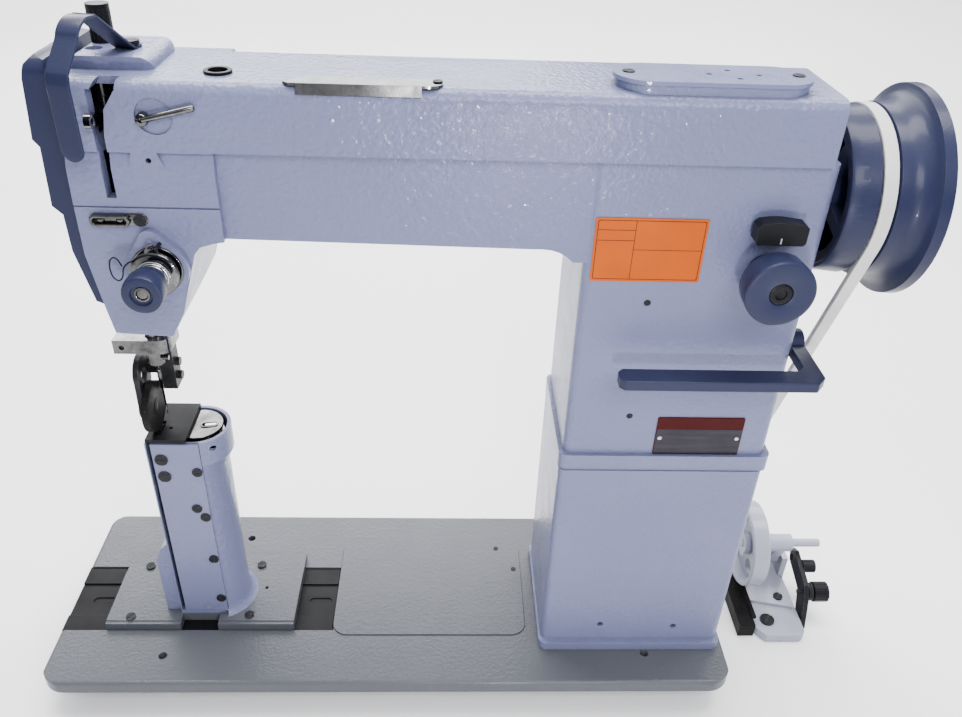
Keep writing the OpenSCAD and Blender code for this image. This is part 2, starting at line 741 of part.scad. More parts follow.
module feed_shaft() color("silver") on_bed() {
  rod_x(3, 101.5, 456, fshaft_y, low_z);
  rod_x(4.6, 102, 106, fshaft_y, low_z);
  // Step clutch at the driven end.
  gear_x(8.6, 18, 418, 430, fshaft_y, low_z);
}

// ---------- needle and presser bars ----------

clamp_z = 234;

module needle_bar() color("silver") on_bed() {
  rod_z(bar_r, needle_x, needle_y, clamp_z + 1, 431);
  // Collar that the link drives.
  difference() {
    translate([needle_x, needle_y, 334]) cylinder(h = 13, r = 6.6);
    block(needle_x + 4.4, 120, -30, 0, 330, 350);
  }
}

module needle_clamp() color("silver") on_bed() difference() {
  union() {
    translate([needle_x, needle_y, clamp_z]) cylinder(h = 10.3, r = 5.1, $fn = 8);
    rod_x(1.6, needle_x, needle_x + 8, needle_y, clamp_z + 4);
  }
  rod_z(bar_r, needle_x, needle_y, clamp_z + 1, clamp_z + 12);
  rod_z(1, needle_x, needle_y, clamp_z - 2, clamp_z + 2);
}

module needle() color("silver") on_bed() translate([needle_x, needle_y, 0]) {
  translate([0, 0, 214]) cylinder(h = clamp_z + 0.9 - 214, r = 0.98);
  translate([0, 0, 196]) cylinder(h = 18, r = 0.65);
  translate([0, 0, 191.5]) cylinder(h = 4.5, r1 = 0.1, r2 = 0.65);
}

link_l = 42;

module needle_link() color("silver") on_bed() difference() {
  slab_yz(111.4, 113.5) union() {
    translate([shaft_y, shaft_z + crank_e]) circle(5.6);
    translate([shaft_y, shaft_z + crank_e - link_l]) circle(5.6);
    translate([shaft_y - 3, shaft_z + crank_e - link_l]) square([6, link_l]);
  }
  rod_x(3.56, 110, 115, shaft_y, shaft_z + crank_e);
  rod_x(3.56, 110, 115, shaft_y, shaft_z + crank_e - link_l);
}

take_tip = [-62.3, 410.5];

module take_up_lever() color("silver") on_bed() difference() {
  union() {
    rod_x(6, take_x - 1.5, take_x + 1.5, take_y, take_z);
    slab_yz(take_x - 1.5, take_x + 1.5) polygon([[-20, 397.5], [-40, 400.6], [-53, 405.2], [-61, 407.4],
      [-63, 413.4], [-53, 412.2], [-40, 407.6], [-20, 406.5]]);
    rod_x(3.7, take_x - 1.7, take_x + 1.7, take_tip[0], take_tip[1]);
  }
  rod_x(3.05, 100, 130, take_y, take_z);
  rod_x(1.5, 100, 130, take_tip[0], take_tip[1]);
}

br_z0 = 245;
br_z1 = br_z0 + 10;
br_y0 = -21.5;

module presser_bar() color("silver") on_bed() {
  rod_z(4.2, presser_x, presser_y, br_z0 - 2, 421);
  // Collar that rests on the guide.
  rod_z(6.4, presser_x, presser_y, 399.2, 402.6);
}

module presser_spring() color("gray") on_bed()
  ring_z(6.3, 4.8, presser_x, presser_y, 402.8, 423.6);

module presser_bracket() color("silver") on_bed() difference() {
  translate([0, 0, br_z0]) linear_extrude(br_z1 - br_z0) difference() {
    union() {
      translate([82.5, br_y0]) square([29, 9.5]);
      translate([96.5, br_y0]) square([14.5, 23]);
      translate([98, br_y0 + 7.3]) square([20, 15.5]);
      translate([110.8, br_y0 + 7.2]) circle(7.2);
      translate([presser_x, presser_y]) circle(8.3);
    }
    translate([needle_x, needle_y]) circle(4.6);
  }
  rod_z(4.2, presser_x, presser_y, br_z0 - 3, br_z1 + 3);
  rod_y(1.7, 88, -30, 0, br_z0 + 4.6);
}

hold_x0 = 90.4;
hold_x1 = 94.0;

module roller_holder() color("black") on_bed() {
  // Block clamped to the presser bar.
  difference() {
    union() {
      block(presser_x - 6, presser_x + 6.2, presser_y - 5.5, presser_y + 6.5, br_z0 - 39, br_z0 - 0.1);
      for (dz = [-20, -31]) rod_x(3, presser_x, presser_x + 9.2, presser_y + 0.5, br_z0 + dz);
    }
    rod_z(4.2, presser_x, presser_y, br_z0 - 2, br_z0 + 2);
  }
  // Loop-shaped side arm and its axle stud.
  difference() {
    slab_yz(hold_x0, hold_x1) union() {
      translate([needle_y, roller_z]) circle(8.5);
      translate([needle_y + 6, roller_z + 25]) circle(13);
      polygon([[needle_y - 8, roller_z - 2], [needle_y + 8, roller_z - 3], [needle_y + 18.5, roller_z + 22],
        [needle_y - 6.5, roller_z + 28]]);
    }
    rod_x(5.5, 80, 100, needle_y + 4, roller_z + 23);
  }
  block(hold_x0, presser_x - 1, presser_y - 2, presser_y + 6, roller_z + 18.5, roller_z + 26);
  rod_x(2.4, hold_x0, 100.2, needle_y, roller_z);
}

module roller_foot() color("black") on_bed() difference() {
  union() {
    rod_x(roller_r, 94.9, 99.9, needle_y, roller_z);
    rod_x(6, 94.4, 100.3, needle_y, roller_z);
  }
  rod_x(2.46, 90, 104, needle_y, roller_z);
}

module pressure_knob() color("black") on_bed() difference() {
  union() {
    rod_z(6.2, presser_x, presser_y, box_top + 0.3, 454.5);
    rod_z(6.05, presser_x, presser_y, 424, box_top + 1);
  }
  rod_z(4.6, presser_x, presser_y, 420, 432);
  for (i = [0 : 15]) translate([presser_x, presser_y, 0]) rotate([0, 0, 22.5 * i])
    translate([5.9, -0.4, 437]) cube([1, 0.8, 15]);
}

module lifter_lever() color("silver") on_bed() difference() {
  union() {
    rod_y(9, lift_x, 26.3, 31.3, lift_z);
    rod_y(4, lift_x, 15.5, 27, lift_z);
    slab_xz(26.3, 31.3) translate([lift_x, lift_z]) thick_line([[0, 0], [-13, -15], [-30, -24]], 9);
    rod_y(5.5, lift_x - 32.5, 26.3, 31.3, lift_z - 25.5);
  }
  rod_y(1.6, lift_x, 28, 40, lift_z);
}

// ---------- handwheel belt ----------

module loop_outline(r1, r2) {
  dy = belt_y2 - shaft_y;
  dz = belt_z2 - shaft_z;
  run = norm([dy, dz]);
  aim = atan2(dz, dy);
  lean = acos((r1 - r2) / run);
  polygon(concat(
    arc(shaft_y, shaft_z, r1, aim + lean, aim + 360 - lean, 48),
    arc(belt_y2, belt_z2, r2, aim - lean, aim + lean, 24)));
}

module belt_layer(half, r_in, t) slab_yz(belt_x - half, belt_x + half) difference() {
  loop_outline(r_in + t, belt_r2 - 6.4 + (r_in - 43.9) + t);
  loop_outline(r_in, belt_r2 - 6.4 + (r_in - 43.9));
}

module v_belt() color("ivory") on_bed() {
  belt_layer(2.4, 43.9, 2.1);
  belt_layer(3.3, 46, 2.1);
  belt_layer(4.1, 48.1, 2.2);
}

// ---------- stitch controls ----------

module stitch_dial() color("slategray") on_bed() difference() {
  union() {
    rod_y(20, dial_x, -82, -66, dial_z);
    rod_y(10, dial_x, -66.5, -50.4, dial_z);
    rod_y(3, dial_x, -51, -43, dial_z);
  }
  rod_y(6.5, dial_x, -83, -79.5, dial_z);
}

module push_button() color("black") on_bed() {
  slab_xz(-64.5, -54.5) polygon(concat([[494, 350.4], [495.5, 352], [495.5, 361], [494, 362.6]],
    [for (i = [1 : 7]) [492 - 3.2 * i, 362.6 + 1.6 * sin(22.5 * i)]],
    [[468.5, 362.6], [467, 361], [467, 352], [468.5, 350.4]]));
  block(474, 489, -55, -43, 350, 356.5);
}

module reverse_lever() color("slategray") on_bed() {
  translate([0, 0, 263]) linear_extrude(7) polygon([[402, -82], [518, -82], [524, -75], [524, -29],
    [514, -29], [514, -64], [510, -68], [402, -68], [399, -71], [399, -79]]);
  rod_x(9, 514, 524, lever_y, lever_z);
  rod_x(4, 500.5, 515, lever_y, lever_z);
}

// ---------- bobbin winder ----------

module winder_base() color("whitesmoke") on_bed() difference() {
  union() {
    translate([0, 0, floor_z]) linear_extrude(8) union() {
      round_rect(566, 603, -24, 62, 7);
      translate([595.5, 8]) circle(7.5);
      polygon([[561, -14], [569, -24], [590, -24], [590, 60], [561, 60]]);
    }
    // Raised middle of the body.
    translate([0, 0, floor_z + 5]) linear_extrude(6) polygon([[563, 12], [600, 4], [600, 60], [563, 60]]);
    for (x = [568, 598]) block(x, x + 5, 40, 62, floor_z, -2);
  }
  rod_z(2.6, 574, -8, floor_z - 1, floor_z + 9);
  rod_z(1.9, 590, 15, floor_z + 6, floor_z + 12);
  rod_x(3.05, 555, 610, 52, -10);
}

// Black rest under the wheel, with its leaf spring.
module winder_rest() color("black") on_bed() {
  block(547, 560.6, -18, 44, floor_z, floor_z + 13);
  block(559, 563, -10, 26, floor_z + 12, floor_z + 15);
}

module winder_frame() color("whitesmoke") on_bed() difference() {
  union() {
    rod_x(7.5, 572, 597, wind_y, wind_z);
    slab_yz(586, 594) polygon([[30, 20], [41, 26], [57, -8], [47, -13]]);
    rod_x(6, 573.3, 597.7, 52, -10);
    rod_x(3, 566.5, 606, 52, -10);
  }
  rod_x(3.55, 560, 610, wind_y, wind_z);
}

module winder_wheel() color("white") on_bed() {
  difference() {
    translate([0, wind_y, wind_z]) rotate([0, 90, 0]) rotate_extrude($fn = 96) polygon([[3, 555], [9, 555],
      [10, 560.5], [31, 560.5], [32.8, 552.5], [wind_r - 1, 552.5], [wind_r, 553.5], [wind_r, 565.5],
      [wind_r - 1, 566.5], [30, 564], [10, 564], [9, 570], [3, 570]]);
    for (i = [0 : 5]) translate([550, wind_y, wind_z]) rotate([60 * i, 0, 0])
      translate([0, 20.5, 0]) rotate([0, 90, 0]) cylinder(h = 20, r = 6);
  }
  rod_x(3.5, 554, 622, wind_y, wind_z);
}

wb_y = 6;
wb_z = -6;

// Thread tension bracket beside the winder.
module winder_bracket() color("black") on_bed() difference() {
  union() {
    slab_yz(604, 608) polygon([[44, 8], [36, 12], [wb_y - 2, wb_z + 9], [wb_y - 8, wb_z], [-10, floor_z],
      [4, floor_z], [wb_y + 8, wb_z - 4], [40, -2]]);
    rod_x(2, 600, 624, wb_y, wb_z);
    rod_x(7.5, 608.6, 609.8, wb_y, wb_z);
    rod_x(7.5, 610.4, 611.6, wb_y, wb_z);
    rod_x(3, 607, 612, wb_y, wb_z);
    rod_x(5.5, 607.5, 618, 24, 6);
  }
  rod_x(3.6, 603, 609, 38, 3);
}

module winder_knob() color("black") on_bed() difference() {
  rod_x(8.5, 613, 625, wb_y, wb_z);
  rod_x(2.06, 612, 624.5, wb_y, wb_z);
  for (i = [0 : 11]) translate([612, wb_y, wb_z]) rotate([30 * i, 0, 0])
    translate([0, 8, -0.6]) cube([14, 1, 1.2]);
}

// ---------- nodes ----------

bed_plate();
bed_panel();
channel_rail();
post_base();
post_body();
post_cover();
needle_plate();
riser_box();
arm_casting();
face_cover();
column_rear_cover();
top_cover();
black_screws();
oil_cap();
top_strip();
front_label();
data_plate();
thread_guides();
take_up_guard();
tension_post();
tension_discs();
bushings();
v_belt();
timing_belt();
feed_belt();
main_shaft();
handwheel();
crank_disc();
upper_pulley();
needle_link();
needle_bar();
needle_clamp();
needle();
take_up_lever();
presser_bar();
presser_spring();
presser_bracket();
roller_holder();
roller_foot();
pressure_knob();
lifter_lever();
tension_knob();
check_spring();
lower_shaft();
post_shaft();
rotary_hook();
bobbin_case();
bobbin();
feed_wheel();
feed_idler();
feed_shaft();
stitch_dial();
push_button();
reverse_lever();
winder_base();
winder_rest();
winder_frame();
winder_wheel();
winder_bracket();
winder_knob();
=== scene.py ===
"""Looks of the post-bed leather sewing machine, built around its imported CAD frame."""
import json
import math

import bmesh
import bpy
from mathutils import Matrix, Vector


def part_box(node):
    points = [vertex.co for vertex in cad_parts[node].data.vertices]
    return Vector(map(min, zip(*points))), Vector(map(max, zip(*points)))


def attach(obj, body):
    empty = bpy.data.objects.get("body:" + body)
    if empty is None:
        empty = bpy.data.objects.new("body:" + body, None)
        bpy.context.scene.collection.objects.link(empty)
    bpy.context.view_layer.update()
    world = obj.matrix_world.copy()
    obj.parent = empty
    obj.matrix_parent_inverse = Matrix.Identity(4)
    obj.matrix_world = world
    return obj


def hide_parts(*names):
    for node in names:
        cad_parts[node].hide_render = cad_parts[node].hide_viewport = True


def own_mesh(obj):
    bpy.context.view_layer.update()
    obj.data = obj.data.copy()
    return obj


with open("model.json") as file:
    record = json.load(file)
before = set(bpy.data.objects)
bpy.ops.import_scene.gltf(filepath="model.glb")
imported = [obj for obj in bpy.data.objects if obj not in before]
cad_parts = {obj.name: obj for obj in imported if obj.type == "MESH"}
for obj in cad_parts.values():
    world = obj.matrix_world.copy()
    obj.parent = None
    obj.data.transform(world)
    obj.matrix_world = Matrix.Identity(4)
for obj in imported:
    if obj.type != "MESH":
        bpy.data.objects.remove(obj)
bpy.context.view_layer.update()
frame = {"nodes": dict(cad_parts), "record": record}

MM = 0.001
TAU = 2 * math.pi


# ---------- places, taken from the frame ----------

def middle(node):
    """Centre of a CAD node's box, in metres."""
    low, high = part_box(node)
    return (low + high) / 2


# ---------- camera, stage and light ----------

YAW, PITCH, ROLL = 0.05103, 0.57481, 0.04178
CAMERA_AT = Vector((0.03634, -0.49299, 0.58520))
LENS = 32.05
SENSOR = 36


def camera_axes():
    """Right, up and backward axes of the camera."""
    ahead = Vector((math.sin(YAW) * math.cos(PITCH), math.cos(YAW) * math.cos(PITCH), -math.sin(PITCH)))
    level = Vector((math.cos(YAW), -math.sin(YAW), 0))
    above = level.cross(ahead)
    right = level * math.cos(ROLL) + above * math.sin(ROLL)
    up = above * math.cos(ROLL) - level * math.sin(ROLL)
    return right, up, -ahead


def make_camera():
    data = bpy.data.cameras.new("camera")
    data.lens = LENS
    data.sensor_width = SENSOR
    data.clip_start = 0.02
    camera = bpy.data.objects.new("camera", data)
    camera.matrix_world = Matrix.Translation(CAMERA_AT) @ Matrix(camera_axes()).transposed().to_4x4()
    bpy.context.scene.collection.objects.link(camera)
    bpy.context.scene.camera = camera


# Name, place, point it faces, size, power in watts and colour.
LIGHTS = (
    ("key", (0.2, -0.75, 0.95), (0.05, 0, 0.36), (0.5, 0.35), 8, (0.96, 0.97, 1.0)),
    ("spark", (0.12, -0.66, 0.32), (0.06, 0, 0.39), (0.03, 0.03), 2.6, (0.97, 0.97, 1.0)),
    ("fill", (1.7, -1.1, 0.7), (0, 0, 0.2), (0.7, 1.3), 3, (0.90, 0.93, 1.0)),
    ("top", (0.1, 0.25, 1.75), (0.05, 0, 0.3), (1.8, 0.6), 62, (1.0, 0.99, 0.98)),
    ("back", (-0.4, 1.8, 1.1), (0, 0, 0.25), (1.6, 0.7), 20, (0.95, 0.97, 1.0)),
    ("backdrop", (0, 2.6, 2.0), (0, 2.4, 0), (5.0, 2.0), 190, (1.0, 1.0, 1.0)),
)
# Height from straight down (0) to straight up (1), and the sky's colour there.
SKY = (
    (0.0, (0.30, 0.30, 0.32)),
    (0.5, (0.07, 0.075, 0.095)),
    (0.62, (0.16, 0.17, 0.21)),
    (0.76, (0.86, 0.88, 0.94)),
    (1.0, (1.0, 1.0, 1.0)),
)
SKY_STRENGTH = 1.15


def area_light(name, place, target, size, power, colour):
    data = bpy.data.lights.new(name, "AREA")
    data.shape = "RECTANGLE"
    data.size, data.size_y = size
    data.energy = power
    data.color = colour
    light = bpy.data.objects.new(name, data)
    light.location = place
    light.rotation_euler = (Vector(target) - Vector(place)).to_track_quat("-Z", "Y").to_euler()
    bpy.context.scene.collection.objects.link(light)


def make_light():
    """Soft boxes that draw highlights on edges and chrome, one small lamp for glints, and a pale sky."""
    for row in LIGHTS:
        area_light(*row)
    world = bpy.data.worlds.new("studio")
    world.use_nodes = True
    nodes, links = world.node_tree.nodes, world.node_tree.links
    coords = nodes.new("ShaderNodeTexCoord")
    split = nodes.new("ShaderNodeSeparateXYZ")
    ramp = nodes.new("ShaderNodeValToRGB").color_ramp
    while len(ramp.elements) < len(SKY):
        ramp.elements.new(0.5)
    for element, (position, colour) in zip(ramp.elements, SKY):
        element.position = position
        element.color = (*colour, 1)
    half = nodes.new("ShaderNodeMapRange")
    half.inputs["From Min"].default_value = -1
    links.new(coords.outputs["Generated"], split.inputs[0])
    links.new(split.outputs["Z"], half.inputs["Value"])
    links.new(half.outputs[0], nodes["Color Ramp"].inputs[0])
    links.new(nodes["Color Ramp"].outputs[0], nodes["Background"].inputs["Color"])
    nodes["Background"].inputs["Strength"].default_value = SKY_STRENGTH
    bpy.context.scene.world = world


# ---------- material tools ----------

class Graph:
    """A node material with short calls for what the finishes below share."""

    def __init__(self, name):
        self.material = bpy.data.materials.new(name)
        self.material.use_nodes = True
        self.nodes = self.material.node_tree.nodes
        self.links = self.material.node_tree.links
        self.shader = self.nodes["Principled BSDF"]
        coords = self.nodes.new("ShaderNodeTexCoord")
        self.place = coords.outputs["Object"]
        self.uv = coords.outputs["UV"]

    def put(self, socket, value):
        """Links an output to the socket, or sets the socket's own value."""
        if isinstance(value, bpy.types.NodeSocket):
            self.links.new(value, socket)
        else:
            socket.default_value = value

    def noise(self, scale, detail=2.0, roughness=0.5, stretch=(1, 1, 1)):
        """Cloudy noise from 0 to 1, squeezed or drawn out along the axes by stretch."""
        mapping = self.nodes.new("ShaderNodeMapping")
        mapping.inputs["Scale"].default_value = stretch
        self.links.new(self.place, mapping.inputs["Vector"])
        node = self.nodes.new("ShaderNodeTexNoise")
        node.inputs["Scale"].default_value = scale
        node.inputs["Detail"].default_value = detail
        node.inputs["Roughness"].default_value = roughness
        self.links.new(mapping.outputs["Vector"], node.inputs["Vector"])
        return node.outputs["Fac"]

    def cells(self, scale):
        """Rounded cells, as in hammered paint."""
        node = self.nodes.new("ShaderNodeTexVoronoi")
        node.feature = "SMOOTH_F1"
        node.inputs["Scale"].default_value = scale
        self.links.new(self.place, node.inputs["Vector"])
        return node.outputs["Distance"]

    def remap(self, value, low, high, out_low, out_high):
        """Maps low..high to out_low..out_high, clamped."""
        node = self.nodes.new("ShaderNodeMapRange")
        node.inputs["From Min"].default_value = low
        node.inputs["From Max"].default_value = high
        node.inputs["To Min"].default_value = out_low
        node.inputs["To Max"].default_value = out_high
        self.links.new(value, node.inputs["Value"])
        return node.outputs["Result"]

    def math(self, operation, *values):
        node = self.nodes.new("ShaderNodeMath")
        node.operation = operation
        for socket, value in zip(node.inputs, values):
            self.put(socket, value)
        return node.outputs[0]

    def blend(self, factor, a, b):
        """Colour a at factor 0 and colour b at factor 1."""
        node = self.nodes.new("ShaderNodeMix")
        node.data_type = "RGBA"
        self.put(node.inputs["Factor"], factor)
        self.put(node.inputs[6], a if not isinstance(a, tuple) else (*a, 1))
        self.put(node.inputs[7], b if not isinstance(b, tuple) else (*b, 1))
        return node.outputs[2]

    def bump(self, height, distance, strength=1.0):
        """Adds one more layer of relief to the shader's normal."""
        node = self.nodes.new("ShaderNodeBump")
        node.inputs["Distance"].default_value = distance
        node.inputs["Strength"].default_value = strength
        self.links.new(height, node.inputs["Height"])
        normal = self.shader.inputs["Normal"]
        if normal.links:
            self.links.new(normal.links[0].from_socket, node.inputs["Normal"])
        self.links.new(node.outputs["Normal"], normal)

    def edges(self, radius):
        """1 on sharp outer and inner edges, 0 on flat ground."""
        soft = self.nodes.new("ShaderNodeBevel")
        soft.samples = 4
        soft.inputs["Radius"].default_value = radius
        plain = self.nodes.new("ShaderNodeNewGeometry")
        dot = self.nodes.new("ShaderNodeVectorMath")
        dot.operation = "DOT_PRODUCT"
        self.links.new(soft.outputs[0], dot.inputs[0])
        self.links.new(plain.outputs["Normal"], dot.inputs[1])
        away = self.math("SUBTRACT", 1.0, dot.outputs["Value"])
        return self.remap(away, 0.02, 0.2, 0, 1)

    def facing_up(self):
        """How far the surface faces up: 1 on a top face, -1 on an underside."""
        split = self.nodes.new("ShaderNodeSeparateXYZ")
        self.links.new(self.nodes.new("ShaderNodeNewGeometry").outputs["Normal"], split.inputs[0])
        return split.outputs["Z"]

    def hollow(self, reach, low, high):
        """1 deep inside a gap or a hollow, 0 on open ground."""
        node = self.nodes.new("ShaderNodeAmbientOcclusion")
        node.samples = 4
        node.inputs["Distance"].default_value = reach
        return self.remap(node.outputs["AO"], low, high, 1, 0)

    def set(self, **values):
        """Sets the shader's inputs by short names, gives the coat the same relief, returns the material."""
        names = {
            "colour": "Base Color", "roughness": "Roughness", "metallic": "Metallic",
            "coat": "Coat Weight", "coat_roughness": "Coat Roughness",
            "sheen": "Sheen Weight", "sheen_roughness": "Sheen Roughness",
            "specular": "Specular IOR Level", "anisotropic": "Anisotropic",
        }
        for key, value in values.items():
            self.put(self.shader.inputs[names[key]], value)
        normal = self.shader.inputs["Normal"]
        if normal.links:
            self.links.new(normal.links[0].from_socket, self.shader.inputs["Coat Normal"])
        return self.material


def shade(colour, factor):
    """The colour made brighter or darker."""
    return tuple(min(1.0, c * factor) for c in colour)


# ---------- materials ----------

def enamel(name, colour, grain, depth, roughness, coat=0.3, chips=False, grime_and_hollow_shade=True):
    """Thick sprayed paint on cast iron: rolling hills, a hammered grain and a clear skin. Grime and painted
    shade can darken its hollows, and painted shade darkens its undersides.
    """
    g = Graph(name)
    cloud = g.noise(14, 3)
    ground = g.blend(g.remap(cloud, 0.3, 0.7, 0, 1), shade(colour, 0.95), shade(colour, 1.04))
    ground = g.blend(g.remap(g.noise(grain * 2.2, 2), 0.60, 0.8, 0, 0.3), ground, shade(colour, 1.3))
    dust = g.remap(g.noise(90, 5, 0.65), 0.6, 0.8, 0, 0.2)
    ground = g.blend(dust, ground, shade(colour, 0.82))
    if chips:
        worn = g.math("MULTIPLY", g.edges(0.0012), g.remap(g.noise(260, 3), 0.5, 0.62, 0, 0.5))
        ground = g.blend(worn, ground, shade(colour, 1.8))
    if grime_and_hollow_shade:
        # Grime and painted shade: patchy darkening in tight creases, where shade falls.
        patches = g.remap(g.noise(220, 4, 0.6), 0.3, 0.7, 0.15, 0.45)
        grime_and_shade = g.math("MULTIPLY", g.hollow(0.006, 0.3, 0.75), patches)
        ground = g.blend(grime_and_shade, ground, shade(colour, 0.35))
        # Painted shade: deep hollows and gaps are darkened to near black.
        ground = g.blend(g.hollow(0.045, 0.06, 0.22), ground, (0.012, 0.012, 0.015))
    # Painted shade: faces that look down are darkened towards a quarter of the colour.
    underside_shade = g.remap(g.facing_up(), -0.9, 0.1, 1, 0)
    ground = g.blend(g.math("MULTIPLY", underside_shade, 0.5), ground, shade(colour, 0.25))
    g.bump(g.noise(26, 1), 0.0009, 0.3)
    g.bump(g.noise(grain, 2, 0.45), depth, 0.9)
    g.bump(g.cells(grain * 0.7), depth * 0.7, 0.6)
    rough = g.remap(g.noise(45, 4), 0.3, 0.7, roughness - 0.06, roughness + 0.07)
    return g.set(colour=ground, roughness=rough, coat=coat, coat_roughness=0.05, specular=0.14)


def chrome(name, bright, dull):
    """Plated steel with a smeared skin of oil and a few dull specks."""
    g = Graph(name)
    smear = g.noise(70, 5, 0.6)
    clean, smeared = shade((1.0, 0.99, 1.0), bright), shade((1.0, 0.98, 0.98), dull)
    ground = g.blend(g.remap(smear, 0.35, 0.7, 0, 1), clean, smeared)
    tarnish = g.remap(g.noise(240, 5, 0.7), 0.5, 0.72, 0, 0.6)
    ground = g.blend(tarnish, ground, shade((1.0, 0.86, 0.77), dull * 0.5))
    g.bump(g.noise(900, 3, 0.6, (1, 1, 0.15)), 0.00002, 0.5)
    rough = g.remap(smear, 0.3, 0.75, 0.06, 0.24)
    return g.set(colour=ground, metallic=1.0, roughness=rough)


def brushed(name, colour, stretch, low, high, depth=0.00004, stain=0.7, metal=1.0):
    """Ground or turned metal: fine lines along one direction, oil stains, and a painted highlight along its
    edges.
    """
    g = Graph(name)
    lines = g.noise(420, 4, 0.65, stretch)
    oil = g.noise(38, 5, 0.6)
    ground = g.blend(g.remap(lines, 0.3, 0.7, 0, 1), shade(colour, 0.82), shade(colour, 1.15))
    ground = g.blend(g.remap(oil, 0.5, 0.72, 0, 0.5), ground, shade(colour, stain))
    # Painted highlight: every edge is lightened as if it caught the light.
    edge_highlight = g.edges(0.0006)
    ground = g.blend(g.math("MULTIPLY", edge_highlight, 0.5), ground, shade(colour, 1.5))
    g.bump(lines, depth, 0.7)
    rough = g.remap(g.noise(60, 4), 0.3, 0.7, low, high)
    return g.set(colour=ground, metallic=metal, roughness=rough, anisotropic=0.3, specular=0.12)


def oxide():
    """Blackened steel, a little brighter where it is handled."""
    g = Graph("black_oxide")
    patch = g.noise(120, 5, 0.6)
    ground = g.blend(g.remap(patch, 0.35, 0.7, 0, 1), (0.006, 0.006, 0.007), (0.018, 0.018, 0.021))
    worn = g.math("MULTIPLY", g.edges(0.0005), g.remap(g.noise(500, 3), 0.4, 0.7, 0.1, 0.9))
    ground = g.blend(worn, ground, (0.22, 0.22, 0.24))
    g.bump(g.noise(1400, 3), 0.00003, 0.6)
    rough = g.remap(patch, 0.3, 0.7, 0.36, 0.54)
    return g.set(colour=ground, metallic=0.4, roughness=rough, specular=0.2)


def rubber():
    """Dull black rubber with a little lint."""
    g = Graph("black_rubber")
    bloom = g.remap(g.noise(80, 5, 0.7), 0.4, 0.7, 0, 1)
    ground = g.blend(bloom, (0.003, 0.003, 0.0035), (0.009, 0.0085, 0.0085))
    lint = g.remap(g.noise(700, 2), 0.66, 0.75, 0, 0.35)
    ground = g.blend(lint, ground, (0.12, 0.12, 0.12))
    g.bump(g.noise(1100, 4, 0.6), 0.00006, 0.7)
    return g.set(colour=ground, roughness=g.remap(g.noise(50), 0.3, 0.7, 0.5, 0.68), specular=0.1)


def black_plastic():
    """Moulded black plastic with a fine grain, and paler on handled edges."""
    g = Graph("black_plastic")
    ground = g.blend(g.noise(60, 4), (0.003, 0.003, 0.004), (0.009, 0.009, 0.011))
    g.bump(g.noise(1600, 2), 0.00003, 0.6)
    g.bump(g.cells(900), 0.00003, 0.4)
    worn = g.math("MULTIPLY", g.edges(0.0006), 0.3)
    ground = g.blend(worn, ground, (0.09, 0.09, 0.10))
    return g.set(colour=ground, roughness=g.remap(g.noise(90, 3), 0.3, 0.7, 0.3, 0.42), specular=0.12)


def belt_cloth():
    """Cotton jacket of the belt: a twill woven along the run, darker between the threads."""
    g = Graph("belt_cloth")
    split = g.nodes.new("ShaderNodeSeparateXYZ")
    g.links.new(g.uv, split.inputs[0])
    thread = 0.0009
    along = g.math("MULTIPLY", split.outputs["X"], TAU / thread)
    across = g.math("MULTIPLY", split.outputs["Y"], TAU / thread)
    warp = g.math("SINE", g.math("ADD", along, across))
    weft = g.math("SINE", g.math("SUBTRACT", across, along))
    weave = g.math("MAXIMUM", warp, weft)
    high = g.remap(weave, -0.4, 1, 0, 1)
    tint = g.remap(g.noise(30, 5, 0.65), 0.35, 0.7, 0, 1)
    clean = g.blend(tint, (0.78, 0.77, 0.77), (0.62, 0.61, 0.62))
    ground = g.blend(high, (0.52, 0.50, 0.49), clean)
    g.bump(high, 0.00022, 0.8)
    g.bump(g.noise(1500, 3), 0.00008, 0.6)
    return g.set(colour=ground, roughness=0.88, sheen=0.35, sheen_roughness=0.5, specular=0.25)


def film(name, colour):
    """Printed plastic film on the casting, with the paint's grain showing through."""
    g = Graph(name)
    ground = g.blend(g.remap(g.noise(60, 4), 0.3, 0.7, 0, 1), shade(colour, 0.93), shade(colour, 1.04))
    g.bump(g.noise(380, 2), 0.00012, 0.5)
    return g.set(colour=ground, roughness=g.remap(g.noise(90, 3), 0.3, 0.7, 0.40, 0.52), specular=0.1)


def floor_paint():
    """Pale, even studio floor."""
    g = Graph("floor_paint")
    ground = g.blend(g.remap(g.noise(1.5, 4), 0.3, 0.7, 0, 1), (0.90, 0.90, 0.90), (0.94, 0.94, 0.94))
    g.bump(g.noise(160, 3), 0.0002, 0.2)
    return g.set(colour=ground, roughness=0.75)


WHITE = (0.134, 0.145, 0.250)
